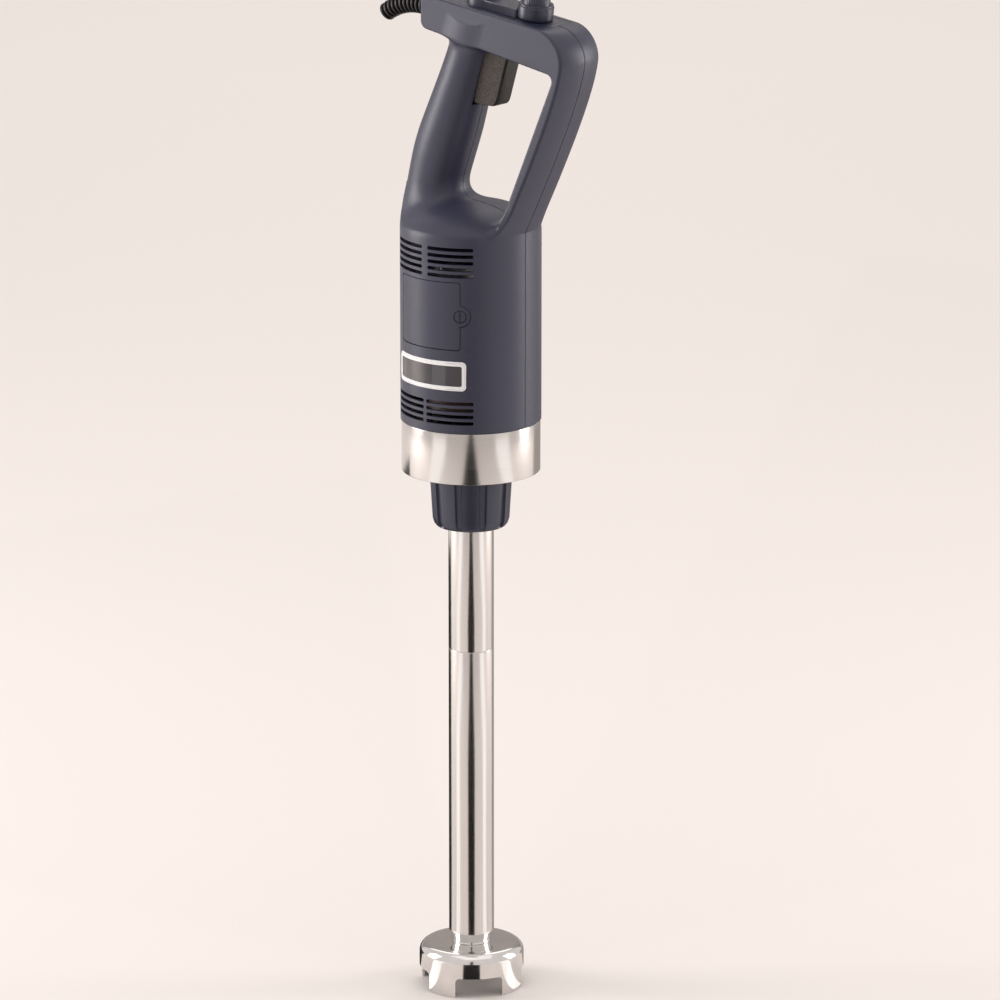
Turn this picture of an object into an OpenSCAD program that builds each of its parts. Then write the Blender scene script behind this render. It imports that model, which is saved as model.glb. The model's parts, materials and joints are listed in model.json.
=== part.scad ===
// Commercial immersion blender: motor unit with a D-loop handle, and a detachable stainless arm.
// Origin: centre of the bell's rim. +Z up the tube, +X towards the handle's outer strut,
// -Y towards the side with the badge.

/* [Bell] */
// Outside radius of the bell
bell_r = 46.5; // [40:0.5:56]
// Wall of the bell
bell_wall = 2; // [1.5:0.1:3]
// Height of the bell's straight side
bell_side = 31; // [29:1:46]
// Radius of the bell's rounded shoulder
bell_shoulder = 8; // [6:0.5:10]
// Height of the arched openings in the rim
arch_h = 18; // [14:1:22]
// Width of one arched opening, as an angle
arch_angle = 54; // [40:1:60]

/* [Arm] */
// Outside radius of the tube
tube_r = 20; // [16:0.5:24]
// Wall of the tube
tube_wall = 1.5; // [1:0.1:2]
// Length of the lower tube
lower_tube_l = 262; // [150:1:320]
// Length of the upper tube
upper_tube_l = 132.5; // [110:0.5:180]
// Height of the collar between the bell and the tube
collar_h = 10; // [8:1:20]
// Radius of the drive shaft
shaft_r = 4; // [3:0.5:5]
// Radius of the blade's circle
blade_r = 33; // [26:1:36]

/* [Coupling] */
// Radius of the motor unit's threaded spigot
spigot_r = 29.9; // [26:0.1:31]
// Length of the spigot below the motor base
spigot_l = 25.5; // [22:0.5:32]
// Outside radius of the nut at its top, without the ribs
nut_r = 35.4; // [34:0.1:40]
// Height of the nut
nut_h = 48.5; // [44:0.5:56]
// Number of raised lands round the nut
nut_lands = 10; // [6:1:14]
// Width across the flats of the hexagon drive
hex_af = 12; // [9:0.5:13]

/* [Motor housing] */
// Outside radius of the housing
drum_r = 61.5; // [58:0.5:72]
// Height of the housing above the steel band
drum_h = 172; // [165:1:210]
// Height of the steel band
band_h = 46; // [36:1:56]
// Radius of the stator core
stator_r = 45; // [40:0.5:47]
// Radius of the armature core
armature_r = 26.4; // [22:0.2:28]
// Length of the stator and armature cores
core_l = 50; // [36:1:52]
// Radius of the motor shaft
motor_shaft_r = 5; // [4:0.5:6]

/* [Handle] */
// Radius of the grip
grip_r = 26; // [22:0.5:28]
// Lean of the grip towards the strut
grip_lean = 20; // [14:1:24]
// Width of the loop, from side to side
loop_w = 52; // [46:1:60]
// Wall of the housing and the handle
handle_wall = 3; // [2.5:0.1:3.5]
// Fall of the top bar towards the strut
bar_tilt = 7; // [4:0.5:9]
// Height of the top bar above the housing's ledge, at the tube's axis
bar_rise = 198; // [192:1:224]
// Reach of the strut's outer corner from the tube's axis
strut_reach = 127; // [124:1:140]
// Radius of the speed dial
dial_r = 15.5; // [12:0.5:17]
// Height of the speed dial's wide ring
dial_h = 14; // [10:0.5:16]
// Radius of the round button
button_r = 12.5; // [9:0.5:14]
// Travel of the round button
button_travel = 2.5; // [1.5:0.1:3]
// Width of the trigger
trigger_w = 21; // [16:0.5:24]

/* [Hidden] */
$fn = 96;

slack = 0.05;        // radial running clearance of a shaft in its bearing
ease = 0.25;         // gap round a cover, cap or trigger in its opening
over = 1;            // how far a cut runs past the face that it opens

// Heights up the arm
bell_top = bell_side + bell_shoulder + 1;
tube_z = bell_top + collar_h;
seam_z = tube_z + lower_tube_l;
flange_z = seam_z + upper_tube_l;
flange_t = 5.5;
spigot_z = flange_z + flange_t;
tube_bore = tube_r - tube_wall;

// Nut
nut_z = flange_z + 28.5 - nut_h;
nut_lip = 4;
nut_flare = 2;
land_angle = 26;
land_start = -50;
land_proud = 1.1;
notch_depth = 1.4;
nut_bore = tube_r + 0.08;

// Motor base and band
base_z = spigot_z + spigot_l;
base_t = 8;
band_z = base_z - 0.5;
band_r = drum_r - 0.75;
band_wall = 1.2;
drum_z = band_z + band_h;
ledge_z = drum_z + drum_h;
base_r = band_r - band_wall - 0.05;
skirt_r = base_r - 0.1;
skirt_l = 12;
bearing_h = 8;
bearing_r = 13;
dog_r = 11.5;
dog_z = spigot_z + bearing_h;

// Motor
stator_z = drum_z + 24;
stator_top = stator_z + core_l;
stator_bore = armature_r + 0.6;
bolt_x = stator_r - 7;
bolt_r = 2;
post_r = 5;
bracket_z = stator_top + 43;
bracket_t = 10;
commutator_r = 13;
brush_z = stator_top + 25;
fan_z = base_z + base_t + 26.5;
fan_r = stator_r - 14;
arm_bearing_r = 11;
coil_r = stator_bore + 5;

// Side features of the housing
cover_z = ledge_z - 98;
cover_h = 59.5;
cover_half = 31.5;
cover_t = 1.8;
tab_r = 9.1;
tab_z = cover_z + cover_h / 2;
cap_r = 5.3;
badge_z = ledge_z - 134;
badge_h = 25.8;
badge_half = 36.5;
badge_depth = 1.4;
slot_h = 3;
slot_pitch = 5.8;

// Handle
half_w = loop_w / 2;
grip_base = [-36, ledge_z + 43];
bar_top = ledge_z + bar_rise;
bar_end = -35;
bar_drop = 25.4;
under_tilt = 9.6;
corner_r = 25;
strut_in = [48, ledge_z - 3];
strut_in_lean = 23.4;
strut_foot_lean = 27;
inner_r = 8;
end_r = 5;
pivot = [grip_x(bar_top - 27) + 11.8, bar_top - 27];
trigger_low = bar_top - 89;
boot_r = 9.5;
boot_bore = 4.2;
boot_straight = 22;
boot_bend_r = 65;
boot_bend = 36;
boot_z = bar_top - 10.5;
plate_t = 1.2;
dial_x = 72.5;
button_x = 17.1;
console_h = 7;

function arc(c, r, a0, a1, n = 8) =
    [for (i = [0:n]) c + r * [cos(a0 + (a1 - a0) * i / n), sin(a0 + (a1 - a0) * i / n)]];
function bezier(p0, p1, p2, n = 12) =
    [for (i = [0:n]) let (t = i / n) (1 - t) * (1 - t) * p0 + 2 * t * (1 - t) * p1 + t * t * p2];

function unit(v) = v / norm(v);

// Rounds the corner at p, between a and b
function fillet(a, p, b, r, n = 6) = let (u = unit(a - p), v = unit(b - p), half = acos(u * v) / 2,
    c = p + unit(u + v) * r / sin(half), s = p + u * r / tan(half) - c, e = p + v * r / tan(half) - c,
    a0 = atan2(s[1], s[0]), turn = (atan2(e[1], e[0]) - a0 + 540) % 360 - 180) arc(c, r, a0, a0 + turn, n);

// A ring about the tube's axis
module ring(r_out, r_in, z, h) {
    rotate_extrude() translate([r_in, z]) square([r_out - r_in, h]);
}

// A stretch of ring, half degrees to each side of the direction at
module sector(r_out, r_in, z, h, half, at) {
    rotate([0, 0, at - half]) rotate_extrude(angle = 2 * half) translate([r_in, z]) square([r_out - r_in, h]);
}

// An outline in X and Z, made w wide about the middle plane
module across(w) {
    rotate([90, 0, 0]) translate([0, 0, -w / 2]) linear_extrude(w) children();
}

// The frame of the top bar: its z is square to the bar's upper face
module on_bar(x = 0) {
    translate([0, 0, bar_top]) rotate([0, bar_tilt, 0]) translate([x, 0, 0]) children();
}

// ---- Arm ----

module bell() {
    wall = bell_wall;
    side = bell_shoulder;
    outer = arc([bell_r - side, bell_side], side, 0, 90);
    inner = arc([bell_r - side, bell_side], side - wall, 90, 0);
    neck = collar_neck_r();
    color("silver") difference() {
        rotate_extrude() polygon(concat([[bell_r - wall, 0], [bell_r, 0]], outer,
            [[tube_r - 2, bell_top], [neck, bell_top], [neck, bell_top - wall]], inner));
        for (i = [0:3]) rotate([0, 0, 49 + 90 * i]) arch();
    }
}

function collar_neck_r() = tube_r / 2;

module arch() {
    w = bell_r * sin(arch_angle / 2);
    r = 3;
    translate([blade_r - 2, 0, 0]) rotate([90, 0, 90]) linear_extrude(bell_r)
        polygon(concat([[-w, -over], [w, -over]], arc([w - r, arch_h - r], r, 0, 90, 5),
            arc([r - w, arch_h - r], r, 90, 180, 5)));
}

bush_r = shaft_r + 5;
plug_l = 24;

module bell_collar() {
    foot = tube_r - 2;
    neck = tube_r - 4;
    color("gainsboro") rotate_extrude() polygon([[bush_r, bell_top - 4], [collar_neck_r(), bell_top - 4],
        [collar_neck_r(), bell_top], [foot, bell_top], [neck, tube_z - 3], [neck, tube_z],
        [tube_bore, tube_z], [tube_bore, tube_z + plug_l], [bush_r, tube_z + plug_l]]);
}

module shaft_seal() { color("black") ring(bush_r, shaft_r + slack, bell_top - 3, 6); }

module lower_bush() {
    color("darkgoldenrod") ring(bush_r, shaft_r + slack, bell_top + 4, collar_h + plug_l - 6);
}

module tube(z, l) {
    c = 0.4;
    color("silver") rotate_extrude() polygon([[tube_bore, z], [tube_r - c, z], [tube_r, z + c],
        [tube_r, z + l - c], [tube_r - c, z + l], [tube_bore, z + l]]);
}

module lower_tube() { tube(tube_z, lower_tube_l); }

module upper_tube() { tube(seam_z, upper_tube_l); }

sleeve_wall = 2;
sleeve_half = 20;

module tube_sleeve() {
    color("gray") ring(tube_bore, tube_bore - sleeve_wall, seam_z - sleeve_half, 2 * sleeve_half);
}

module steady_bush() {
    color("ivory") ring(tube_bore - sleeve_wall, shaft_r + slack, seam_z - 8, 16);
}

pilot_r = spigot_r - 5.95;
pilot_h = 6;

module tube_flange() {
    color("lightgray") rotate_extrude() polygon([[bush_r, flange_z - 20], [tube_bore, flange_z - 20],
        [tube_bore, flange_z], [spigot_r - 0.9, flange_z], [spigot_r - 0.9, spigot_z],
        [pilot_r, spigot_z], [pilot_r, spigot_z + pilot_h], [arm_bearing_r, spigot_z + pilot_h],
        [arm_bearing_r, spigot_z - 1], [bush_r, spigot_z - 1]]);
}

module arm_bearing() { color("silver") ring(arm_bearing_r, shaft_r + slack, spigot_z - 1, 7); }

// ---- Coupling nut ----

module coupling_nut() {
    low_r = nut_r - nut_flare;
    thread_r = spigot_r + 0.1;
    shoulder_r = thread_r - 4;
    top = nut_z + nut_h;
    color("#33333f") difference() {
        rotate_extrude() polygon([[nut_bore, nut_z], [low_r - 2.5, nut_z], [low_r, nut_z + 2.5],
            [low_r + land_proud, nut_z + 7], [nut_r + land_proud, top - 2], [nut_r, top - 1],
            [nut_r - 1, top], [thread_r, top], [thread_r, flange_z], [shoulder_r, flange_z],
            [shoulder_r, nut_z + nut_lip], [nut_bore, nut_z + nut_lip]]);
        for (i = [0:nut_lands - 1]) rotate([0, 0, land_start + (i + 0.5) * 360 / nut_lands]) nut_notch();
    }
}

// The gap between two lands, which follows the nut's flare
module nut_notch() {
    gap_angle = 360 / nut_lands - land_angle;
    low_r = nut_r - nut_flare - notch_depth;
    rotate([0, 0, -gap_angle / 2]) rotate_extrude(angle = gap_angle) polygon([[low_r, nut_z - over],
        [nut_r + land_proud + over, nut_z - over], [nut_r + land_proud + over, nut_z + nut_h + over],
        [nut_r - notch_depth, nut_z + nut_h + over]]);
}

// ---- Drive line ----

shaft_low = 14;
hub_r = 8;
blade_z = 17;
blade_t = 1.8;

module drive_shaft() {
    color("silver") translate([0, 0, shaft_low]) cylinder(r = shaft_r, h = spigot_z + 16 - shaft_low);
}

module shaft_dog() {
    z = spigot_z + 6.5;
    color("dimgray") difference() {
        translate([0, 0, z]) cylinder(r = hex_af / 2 / cos(30), h = 12.5, $fn = 6);
        translate([0, 0, z - over]) cylinder(r = shaft_r, h = 9.5 + over);
    }
}

module blade_hub() { color("silver") ring(hub_r, shaft_r, blade_z + blade_t, 13); }

// One arm of the cutter: a swept outline that narrows to its tip
module blade_arm() {
    front = bezier([hub_r, -hub_r], [blade_r / 2, -5], [blade_r, -3]);
    back = bezier([blade_r - 8, 5], [blade_r / 2, 6], [hub_r - 2, hub_r + 2]);
    linear_extrude(blade_t) polygon(concat([[0, -hub_r]], front, [[blade_r - 3, 4]], back, [[0, hub_r]]));
}

module blade() {
    color("silver") difference() {
        union() {
            translate([0, 0, blade_z]) cylinder(r = hub_r + 2, h = blade_t);
            for (i = [0:2]) rotate([0, 0, 120 * i]) translate([0, 0, blade_z]) blade_arm();
        }
        translate([0, 0, blade_z - over]) cylinder(r = shaft_r, h = blade_t + 2 * over);
    }
}

module blade_nut() {
    color("dimgray") difference() {
        translate([0, 0, blade_z - 6]) cylinder(r = hub_r - 1, h = 6, $fn = 6);
        translate([0, 0, shaft_low]) cylinder(r = shaft_r, h = 6);
    }
}

// ---- Motor unit, lower end ----

screw_ring = base_r - 7;

module motor_base() {
    color("darkgray") difference() {
        union() {
            rotate_extrude() polygon([[dog_r + 0.5, dog_z], [pilot_r + 0.05, dog_z],
                [pilot_r + 0.05, spigot_z], [spigot_r, spigot_z], [spigot_r, base_z], [base_r, base_z],
                [base_r, base_z + base_t], [bearing_r + 5, base_z + base_t],
                [bearing_r + 5, base_z + base_t + bearing_h], [bearing_r, base_z + base_t + bearing_h],
                [bearing_r, base_z + base_t], [dog_r + 0.5, base_z + base_t]]);
            for (s = [-1, 1]) translate([s * bolt_x, 0, base_z + base_t - over])
                cylinder(r = post_r, h = stator_z - base_z - base_t + over);
        }
        for (s = [-1, 1]) translate([s * bolt_x, 0, base_z - over])
            cylinder(r = bolt_r, h = stator_z - base_z + 2 * over);
        for (i = [0:3]) rotate([0, 0, 45 + 90 * i]) translate([screw_ring, 0, 0]) {
            translate([0, 0, base_z - over]) cylinder(r = 4, h = 2.5 + over);
            translate([0, 0, base_z]) cylinder(r = 2, h = base_t + over);
        }
    }
}

module base_screws() {
    color("silver") for (i = [0:3]) rotate([0, 0, 45 + 90 * i]) translate([screw_ring, 0, 0]) {
        translate([0, 0, base_z + 0.1]) cylinder(r = 4, h = 2.4);
        translate([0, 0, base_z + 1]) cylinder(r = 2, h = band_h - 8);
    }
}

module lower_bearing() {
    color("silver") ring(bearing_r, motor_shaft_r + slack, base_z + base_t, bearing_h);
}

module steel_band() {
    top = drum_z - 0.5;
    in_r = band_r - band_wall;
    color("silver") rotate_extrude() polygon([[in_r, band_z], [band_r - 0.6, band_z],
        [band_r, band_z + 0.6], [band_r, top], [in_r, top]]);
}

// ---- Motor ----

module stator_core() {
    color("dimgray") difference() {
        ring(stator_r, stator_bore, stator_z, core_l);
        for (s = [-1, 1]) translate([s * bolt_x, 0, stator_z - over])
            cylinder(r = bolt_r, h = core_l + 2 * over);
        coil_legs(0);
    }
}

coil_leg_r = 3;

// The four straight legs of the two field coils, in their slots
module coil_legs(reach) {
    for (a = [35, 145, 215, 325]) rotate([0, 0, a])
        translate([coil_r, 0, stator_z - over - reach])
            cylinder(r = coil_leg_r, h = core_l + 2 * (over + reach));
}

module stator_windings() {
    color("peru") {
        for (a = [90, 270]) for (z = [stator_z - 11.5, stator_top + 0.5])
            sector(coil_r + 8, coil_r - coil_leg_r, z, 11, 60, a);
        coil_legs(2);
    }
}

module stator_bolts() {
    color("silver") for (s = [-1, 1]) translate([s * bolt_x, 0, base_z + 1]) {
        cylinder(r = bolt_r, h = bracket_z + bracket_t - base_z);
        translate([0, 0, bracket_z + bracket_t - base_z - 1]) cylinder(r = 4, h = 3);
    }
}

holder_x = 14;

module end_bracket() {
    post_h = bracket_z - stator_top;
    color("darkgray") difference() {
        union() {
            translate([-bolt_x - 8, -26, bracket_z]) cube([2 * bolt_x + 16, 52, bracket_t]);
            for (s = [-1, 1]) translate([s * bolt_x, 0, stator_top]) cylinder(r = post_r, h = post_h + over);
        }
        for (s = [-1, 1]) translate([s * bolt_x, 0, stator_top - over])
            cylinder(r = bolt_r, h = post_h + bracket_t + 2 * over);
        translate([0, 0, bracket_z - over]) cylinder(r = 7, h = bracket_t + 2 * over);
        translate([0, 0, bracket_z + 3]) cylinder(r = arm_bearing_r, h = bracket_t);
    }
}

spindle_r = motor_shaft_r - 1;

module upper_bearing() { color("silver") ring(arm_bearing_r, spindle_r + slack, bracket_z + 3, 7); }

brush_w = 6;
brush_near = commutator_r + 0.1;

module brush_holders() {
    near = commutator_r + 1.5;
    color("saddlebrown") for (s = [-1, 1]) mirror([0, (1 - s) / 2, 0]) difference() {
        union() {
            translate([-holder_x / 2, near, brush_z - 7]) cube([holder_x, 26, 14]);
            translate([-holder_x / 2, near + 1, brush_z]) cube([holder_x, 9, bracket_z - brush_z]);
        }
        translate([-brush_w / 2, near - over, brush_z - 4]) cube([brush_w, 28, 8]);
    }
}

module carbon_brushes() {
    color("black") for (s = [-1, 1]) mirror([0, (1 - s) / 2, 0])
        translate([-brush_w / 2, brush_near, brush_z - 4]) cube([brush_w, 15, 8]);
}

module brush_springs() {
    color("silver") for (s = [-1, 1]) mirror([0, (1 - s) / 2, 0])
        translate([0, brush_near + 15, brush_z]) rotate([-90, 0, 0]) difference() {
            cylinder(r = brush_w / 2 - 0.2, h = 10);
            translate([0, 0, -over]) cylinder(r = brush_w / 2 - 1, h = 10 + 2 * over);
        }
}

module motor_shaft() {
    low = dog_z + 12;
    color("silver") rotate_extrude() polygon([[0, low], [motor_shaft_r, low], [motor_shaft_r, bracket_z],
        [spindle_r, bracket_z], [spindle_r, bracket_z + bracket_t], [0, bracket_z + bracket_t]]);
}

module armature_core() { color("dimgray") ring(armature_r, motor_shaft_r, stator_z, core_l); }

module armature_windings() {
    color("peru") {
        ring(armature_r - 3, motor_shaft_r, stator_z - 9, 9);
        ring(armature_r - 3, motor_shaft_r, stator_top, 9);
    }
}

module commutator() { color("orangered") ring(commutator_r, motor_shaft_r, brush_z - 9, 18); }

module cooling_fan() {
    color("black") difference() {
        union() {
            translate([0, 0, fan_z]) cylinder(r = 9, h = 16);
            translate([0, 0, fan_z + 14]) cylinder(r = fan_r, h = 2);
            for (i = [0:8]) rotate([0, 0, 40 * i]) translate([6, -0.8, fan_z + 2]) cube([fan_r - 7, 1.6, 13]);
        }
        translate([0, 0, fan_z - over]) cylinder(r = motor_shaft_r, h = 18 + over);
    }
}

module drive_dog() {
    color("dimgray") difference() {
        translate([0, 0, dog_z]) cylinder(r = dog_r, h = 22);
        translate([0, 0, dog_z - over]) cylinder(r = (hex_af + 0.2) / 2 / cos(30), h = 12 + over, $fn = 6);
        translate([0, 0, dog_z + 11]) cylinder(r = motor_shaft_r, h = 12);
    }
}

// ---- Housing and handle ----

// Upper edge, lower edge and inner edge of the loop, moved in by t
function top_at(x, t) = bar_top - x * tan(bar_tilt) - t / cos(bar_tilt);
function under_at(x, t) = bar_top - bar_drop - (x - bar_end) * tan(under_tilt) + t / cos(under_tilt);
function inner_at(z, t) = strut_in[0] + (z - strut_in[1]) * tan(strut_in_lean) + t / cos(strut_in_lean);

// Where the strut's inner edge meets the bar's lower edge
function inner_corner(t) = let (k = tan(strut_in_lean), m = tan(under_tilt),
    z = (under_at(0, t) - m * inner_at(0, t)) / (1 + m * k)) [inner_at(z, t), z];

// The strut's outer edge: from under the rounded corner down to the housing
function outer_top(t) = top_at(strut_reach - t, t) - (corner_r - t) * tan((90 - bar_tilt) / 2);
function outer_edge(t, n) = let (foot = [drum_r - t * 1.15, ledge_z + 1])
    bezier([strut_reach - t, outer_top(t)],
        [strut_reach - t, foot[1] + (strut_reach - t - foot[0]) / tan(strut_foot_lean)], foot, n);

// The rounded corner at the top of the strut
function outer_corner(t, n) = let (x = strut_reach - t, p = [x, top_at(x, t)])
    fillet([bar_end, top_at(bar_end, t)], p, [x, ledge_z], corner_r - t, n);

// Side view of the loop: the top bar, its rounded corner and the strut, moved in by t
function loop_outline(t) = let (x0 = bar_end + t, foot = [inner_at(strut_in[1], t), strut_in[1]],
    in = inner_corner(t), low = [x0, under_at(x0, t)], high = [x0, top_at(x0, t)])
    concat([foot], fillet(foot, in, low, inner_r + t), fillet(in, low, high, end_r - t, 4),
        fillet(low, high, [strut_reach, top_at(strut_reach, t)], end_r - t, 4),
        outer_corner(t, 8), outer_edge(t, 12), [[drum_r - t * 1.15, strut_in[1]]]);

// A cylinder whose outermost line runs from point a to point b of the outer edge
module round_run(a, b, r) {
    d = b - a;
    lap = norm(d) / 8;
    translate([a[0], 0, a[1]]) rotate([0, atan2(d[0], d[1]), 0]) translate([0.6 - r, 0, -lap])
        cylinder(r = r, h = norm(d) + 2 * lap);
}

// The loop, with its outer face rounded in line with the housing below it
module loop(t) {
    edge = outer_edge(t, 4);
    bend = outer_corner(t, 5);
    intersection() {
        across(loop_w - 2 * t) polygon(loop_outline(t));
        union() {
            for (i = [0:3]) round_run(edge[i + 1], edge[i], drum_r);
            for (i = [0:4]) round_run(bend[i + 1], bend[i], drum_r * pow(1.6, 4 - i));
            translate([bar_end - 5, -loop_w, inner_corner(0)[1] - 20])
                cube([strut_reach - bar_end - corner_r + 5, 2 * loop_w, 120]);
        }
    }
}

// Axis point of the grip at a height
function grip_x(z) = grip_base[0] + (z - grip_base[1]) * tan(grip_lean);

module grip_rod(r, z0, z1) {
    translate([grip_x(z0), 0, z0]) rotate([0, grip_lean, 0]) cylinder(r = r, h = (z1 - z0) / cos(grip_lean));
}

module grip(t) {
    intersection() {
        grip_rod(grip_r - t, ledge_z - 10, bar_top - 16 - t);
        translate([0, 0, ledge_z - 8]) cylinder(r = drum_r - 0.4 - t, h = bar_rise);
    }
}

// The housing with the low dome on top of its ledge
module drum(t, low) {
    rotate_extrude() polygon(concat([[0, low], [drum_r - t, low], [drum_r - t, ledge_z - 1.5 - t / 2],
        [drum_r - 1.5 - t, ledge_z - t / 2]],
        bezier([drum_r - 3 - t, ledge_z + 1 - t], [drum_r * 0.75, ledge_z + 18 - t],
            [drum_r * 0.3, ledge_z + 21 - t], 6),
        [[0, ledge_z + 22 - t]]));
}

module handle_solid(t, low) {
    drum(t, low);
    grip(t);
    loop(t);
}

// Screw posts across the housing: [x, z]
posts = [[bar_end + 23, bar_top - 15], [strut_reach - 19, bar_top - 32],
    [grip_x(ledge_z + 62), ledge_z + 62], [drum_r - 12, ledge_z - 14], [14 - drum_r, ledge_z - 14],
    [drum_r - 12, drum_z + 8], [12 - drum_r, drum_z + 8]];
screw_r = 1.6;
head_r = 3.6;

module at_post(p) { translate([p[0], 0, p[1]]) rotate([90, 0, 0]) children(); }

// Everything of the housing before it is split
module housing_walls() {
    difference() {
        union() {
            handle_solid(0, drum_z);
            translate([0, 0, drum_z - skirt_l]) cylinder(r = skirt_r, h = skirt_l + 1);
        }
        difference() {
            handle_solid(handle_wall, drum_z - skirt_l - over);
            intersection() {
                union() for (p = posts) at_post(p) cylinder(r = head_r + 1.2, h = 4 * drum_r, center = true);
                handle_solid(0.5, drum_z);
            }
            for (i = [0:3]) rotate([0, 0, 45 + 90 * i]) translate([screw_ring, 0, drum_z - 2])
                cylinder(r = 4, h = 14);
        }
        for (i = [0:3]) rotate([0, 0, 45 + 90 * i]) translate([screw_ring, 0, drum_z - skirt_l - over])
            cylinder(r = 2, h = skirt_l + 14);
    }
}

module vent_row(z, near, far) {
    for (side = [-90, 90]) for (s = [-1, 1])
        sector(drum_r + 5, drum_r - 12, z, slot_h, (far - near) / 2, side + s * (far + near) / 2);
}

module vents() {
    for (i = [0:4]) vent_row(ledge_z - 8 - slot_h - i * slot_pitch, 2.8, 42.4);
    for (i = [0:3]) vent_row(drum_z + 7.5 + i * slot_pitch, 1.3, 42.4);
}

// Brush cover: a curved plate with a round tab; grow widens it for its recess
module cover_plate(side, grow, r_in, r_out) {
    s = side < 0 ? 1 : -1;
    half = cover_half + grow / drum_r * 180 / PI;
    intersection() {
        ring(r_out, r_in, cover_z - tab_r, cover_h + 2 * tab_r);
        union() {
            sector(drum_r + 9, drum_r - 30, cover_z - grow, cover_h + 2 * grow, half, side * 90);
            rotate([0, 0, side * 90 + s * cover_half]) translate([drum_r - 15, 0, tab_z]) rotate([0, 90, 0])
                cylinder(r = tab_r + grow, h = 30);
        }
    }
}

module brush_cover(side) {
    s = side < 0 ? 1 : -1;
    color("#55556a") difference() {
        cover_plate(side, 0, drum_r - cover_t, drum_r);
        rotate([0, 0, side * 90 + s * cover_half]) translate([drum_r - 15, 0, tab_z]) rotate([0, 90, 0])
            cylinder(r = cap_r + 0.1, h = 30);
    }
}

module right_brush_cover() { brush_cover(-1); }

module left_brush_cover() { brush_cover(1); }

module cover_caps() {
    color("#44445a") for (side = [-1, 1]) {
        s = side < 0 ? 1 : -1;
        rotate([0, 0, side * 90 + s * cover_half]) translate([drum_r - cover_t + 0.1, 0, tab_z])
            rotate([0, 90, 0]) difference() {
                cylinder(r = cap_r, h = cover_t);
                translate([-cap_r, -0.6, cover_t - 0.8]) cube([2 * cap_r, 1.2, 2]);
            }
    }
}

module badge_solid(grow, r_in, r_out) {
    sector(r_out, r_in, badge_z - grow, badge_h + 2 * grow, badge_half + grow, -90);
}

window_z = badge_z + 3.8;
window_h = badge_h - 7.6;
window_half = badge_half - 5.5;

module badge_bezel() {
    color("white") difference() {
        badge_solid(0, drum_r - badge_depth, drum_r + 0.6);
        sector(drum_r + 5, drum_r - 9, window_z, window_h, window_half, -90);
    }
}

module badge_lens() {
    color("#1a1a20") sector(drum_r - 0.3, drum_r - badge_depth, window_z, window_h, window_half, -90);
}

trigger_slot_w = trigger_w + 4 * ease;

// Cuts through the housing for what is let into it
module housing_cuts() {
    vents();
    for (side = [-1, 1]) {
        cover_plate(side, ease, drum_r - cover_t, drum_r + 5);
        rotate([90, 0, 0]) translate([0, brush_z, side > 0 ? -drum_r : 0]) cylinder(r = 7, h = drum_r);
    }
    badge_solid(ease, drum_r - badge_depth, drum_r + 5);
    on_bar() translate([-12, -20, -plate_t]) cube([110, 40, 9]);
    on_bar(dial_x) translate([0, 0, -9]) cylinder(r = 4, h = 18);
    on_bar(button_x) translate([0, 0, -9]) cylinder(r = 4, h = 18);
    translate([pivot[0] - 14, -trigger_slot_w / 2, trigger_low - 1.2])
        cube([46, trigger_slot_w, under_at(pivot[0] + 32, 0) - trigger_low]);
    translate([pivot[0] - 7, -trigger_slot_w / 2, trigger_low + 30]) cube([22, trigger_slot_w, 28]);
    translate([bar_end - 5, 0, boot_z]) rotate([0, 90, 0]) cylinder(r = boot_r - 2, h = 15);
    at_pin(1.5, 2 * half_w - 8);
}

// The trigger's pin, r in radius and l long
module at_pin(r, l) {
    translate([pivot[0], 0, pivot[1]]) rotate([90, 0, 0]) cylinder(r = r, h = l, center = true);
}

// Webs inside the bar that carry the trigger's pin
module pin_webs() {
    for (s = [-1, 1]) translate([pivot[0] - 5, s > 0 ? trigger_slot_w / 2 : -half_w + 1, pivot[1] - 6])
        cube([10, half_w - 1 - trigger_slot_w / 2, 10.5]);
}

module half_space(side) {
    translate([-2 * strut_reach, side > 0 ? 0 : -2 * strut_reach, 0])
        cube([4 * strut_reach, 2 * strut_reach, 2 * bar_top]);
}

module right_shell() {
    color("#5a5a6c") difference() {
        intersection() {
            union() {
                housing_walls();
                pin_webs();
            }
            half_space(-1);
        }
        housing_cuts();
        for (p = posts) at_post(p) translate([0, 0, -over]) cylinder(r = screw_r, h = 17 + over);
    }
}

module left_shell() {
    color("#5a5a6c") difference() {
        intersection() {
            union() {
                housing_walls();
                pin_webs();
            }
            half_space(1);
        }
        housing_cuts();
        for (p = posts) at_post(p) {
            translate([0, 0, -20 * over]) cylinder(r = screw_r + 0.4, h = 22);
            translate([0, 0, -10 - 3 * drum_r]) cylinder(r = head_r, h = 3 * drum_r);
        }
    }
}

module shell_screws() {
    color("silver") for (p = posts) at_post(p) {
        translate([0, 0, -12]) cylinder(r = screw_r, h = 12 + 16);
        translate([0, 0, -13]) cylinder(r = head_r - 0.3, h = 3);
    }
}

// ---- Controls ----

console = [18, 44, 26];

module control_plate() {
    color("#3a3a44") on_bar() difference() {
        union() {
            translate([-11.7, -19.7, -plate_t]) cube([109.4, 39.4, plate_t]);
            translate([console[0], -console[2] / 2, -0.5]) cube([console[1], console[2], console_h + 0.5]);
            translate([button_x, 0, -0.5]) cylinder(r = button_r + 3.5, h = console_h - 1);
        }
        translate([button_x, 0, -5]) cylinder(r = 4, h = 20);
        translate([button_x, 0, 1.5]) cylinder(r = button_r + 3.1, h = 20);
        translate([dial_x, 0, -5]) cylinder(r = 4, h = 20);
        translate([dial_x, 0, 0]) cylinder(r = dial_r + 0.6, h = 20);
    }
}

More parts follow.
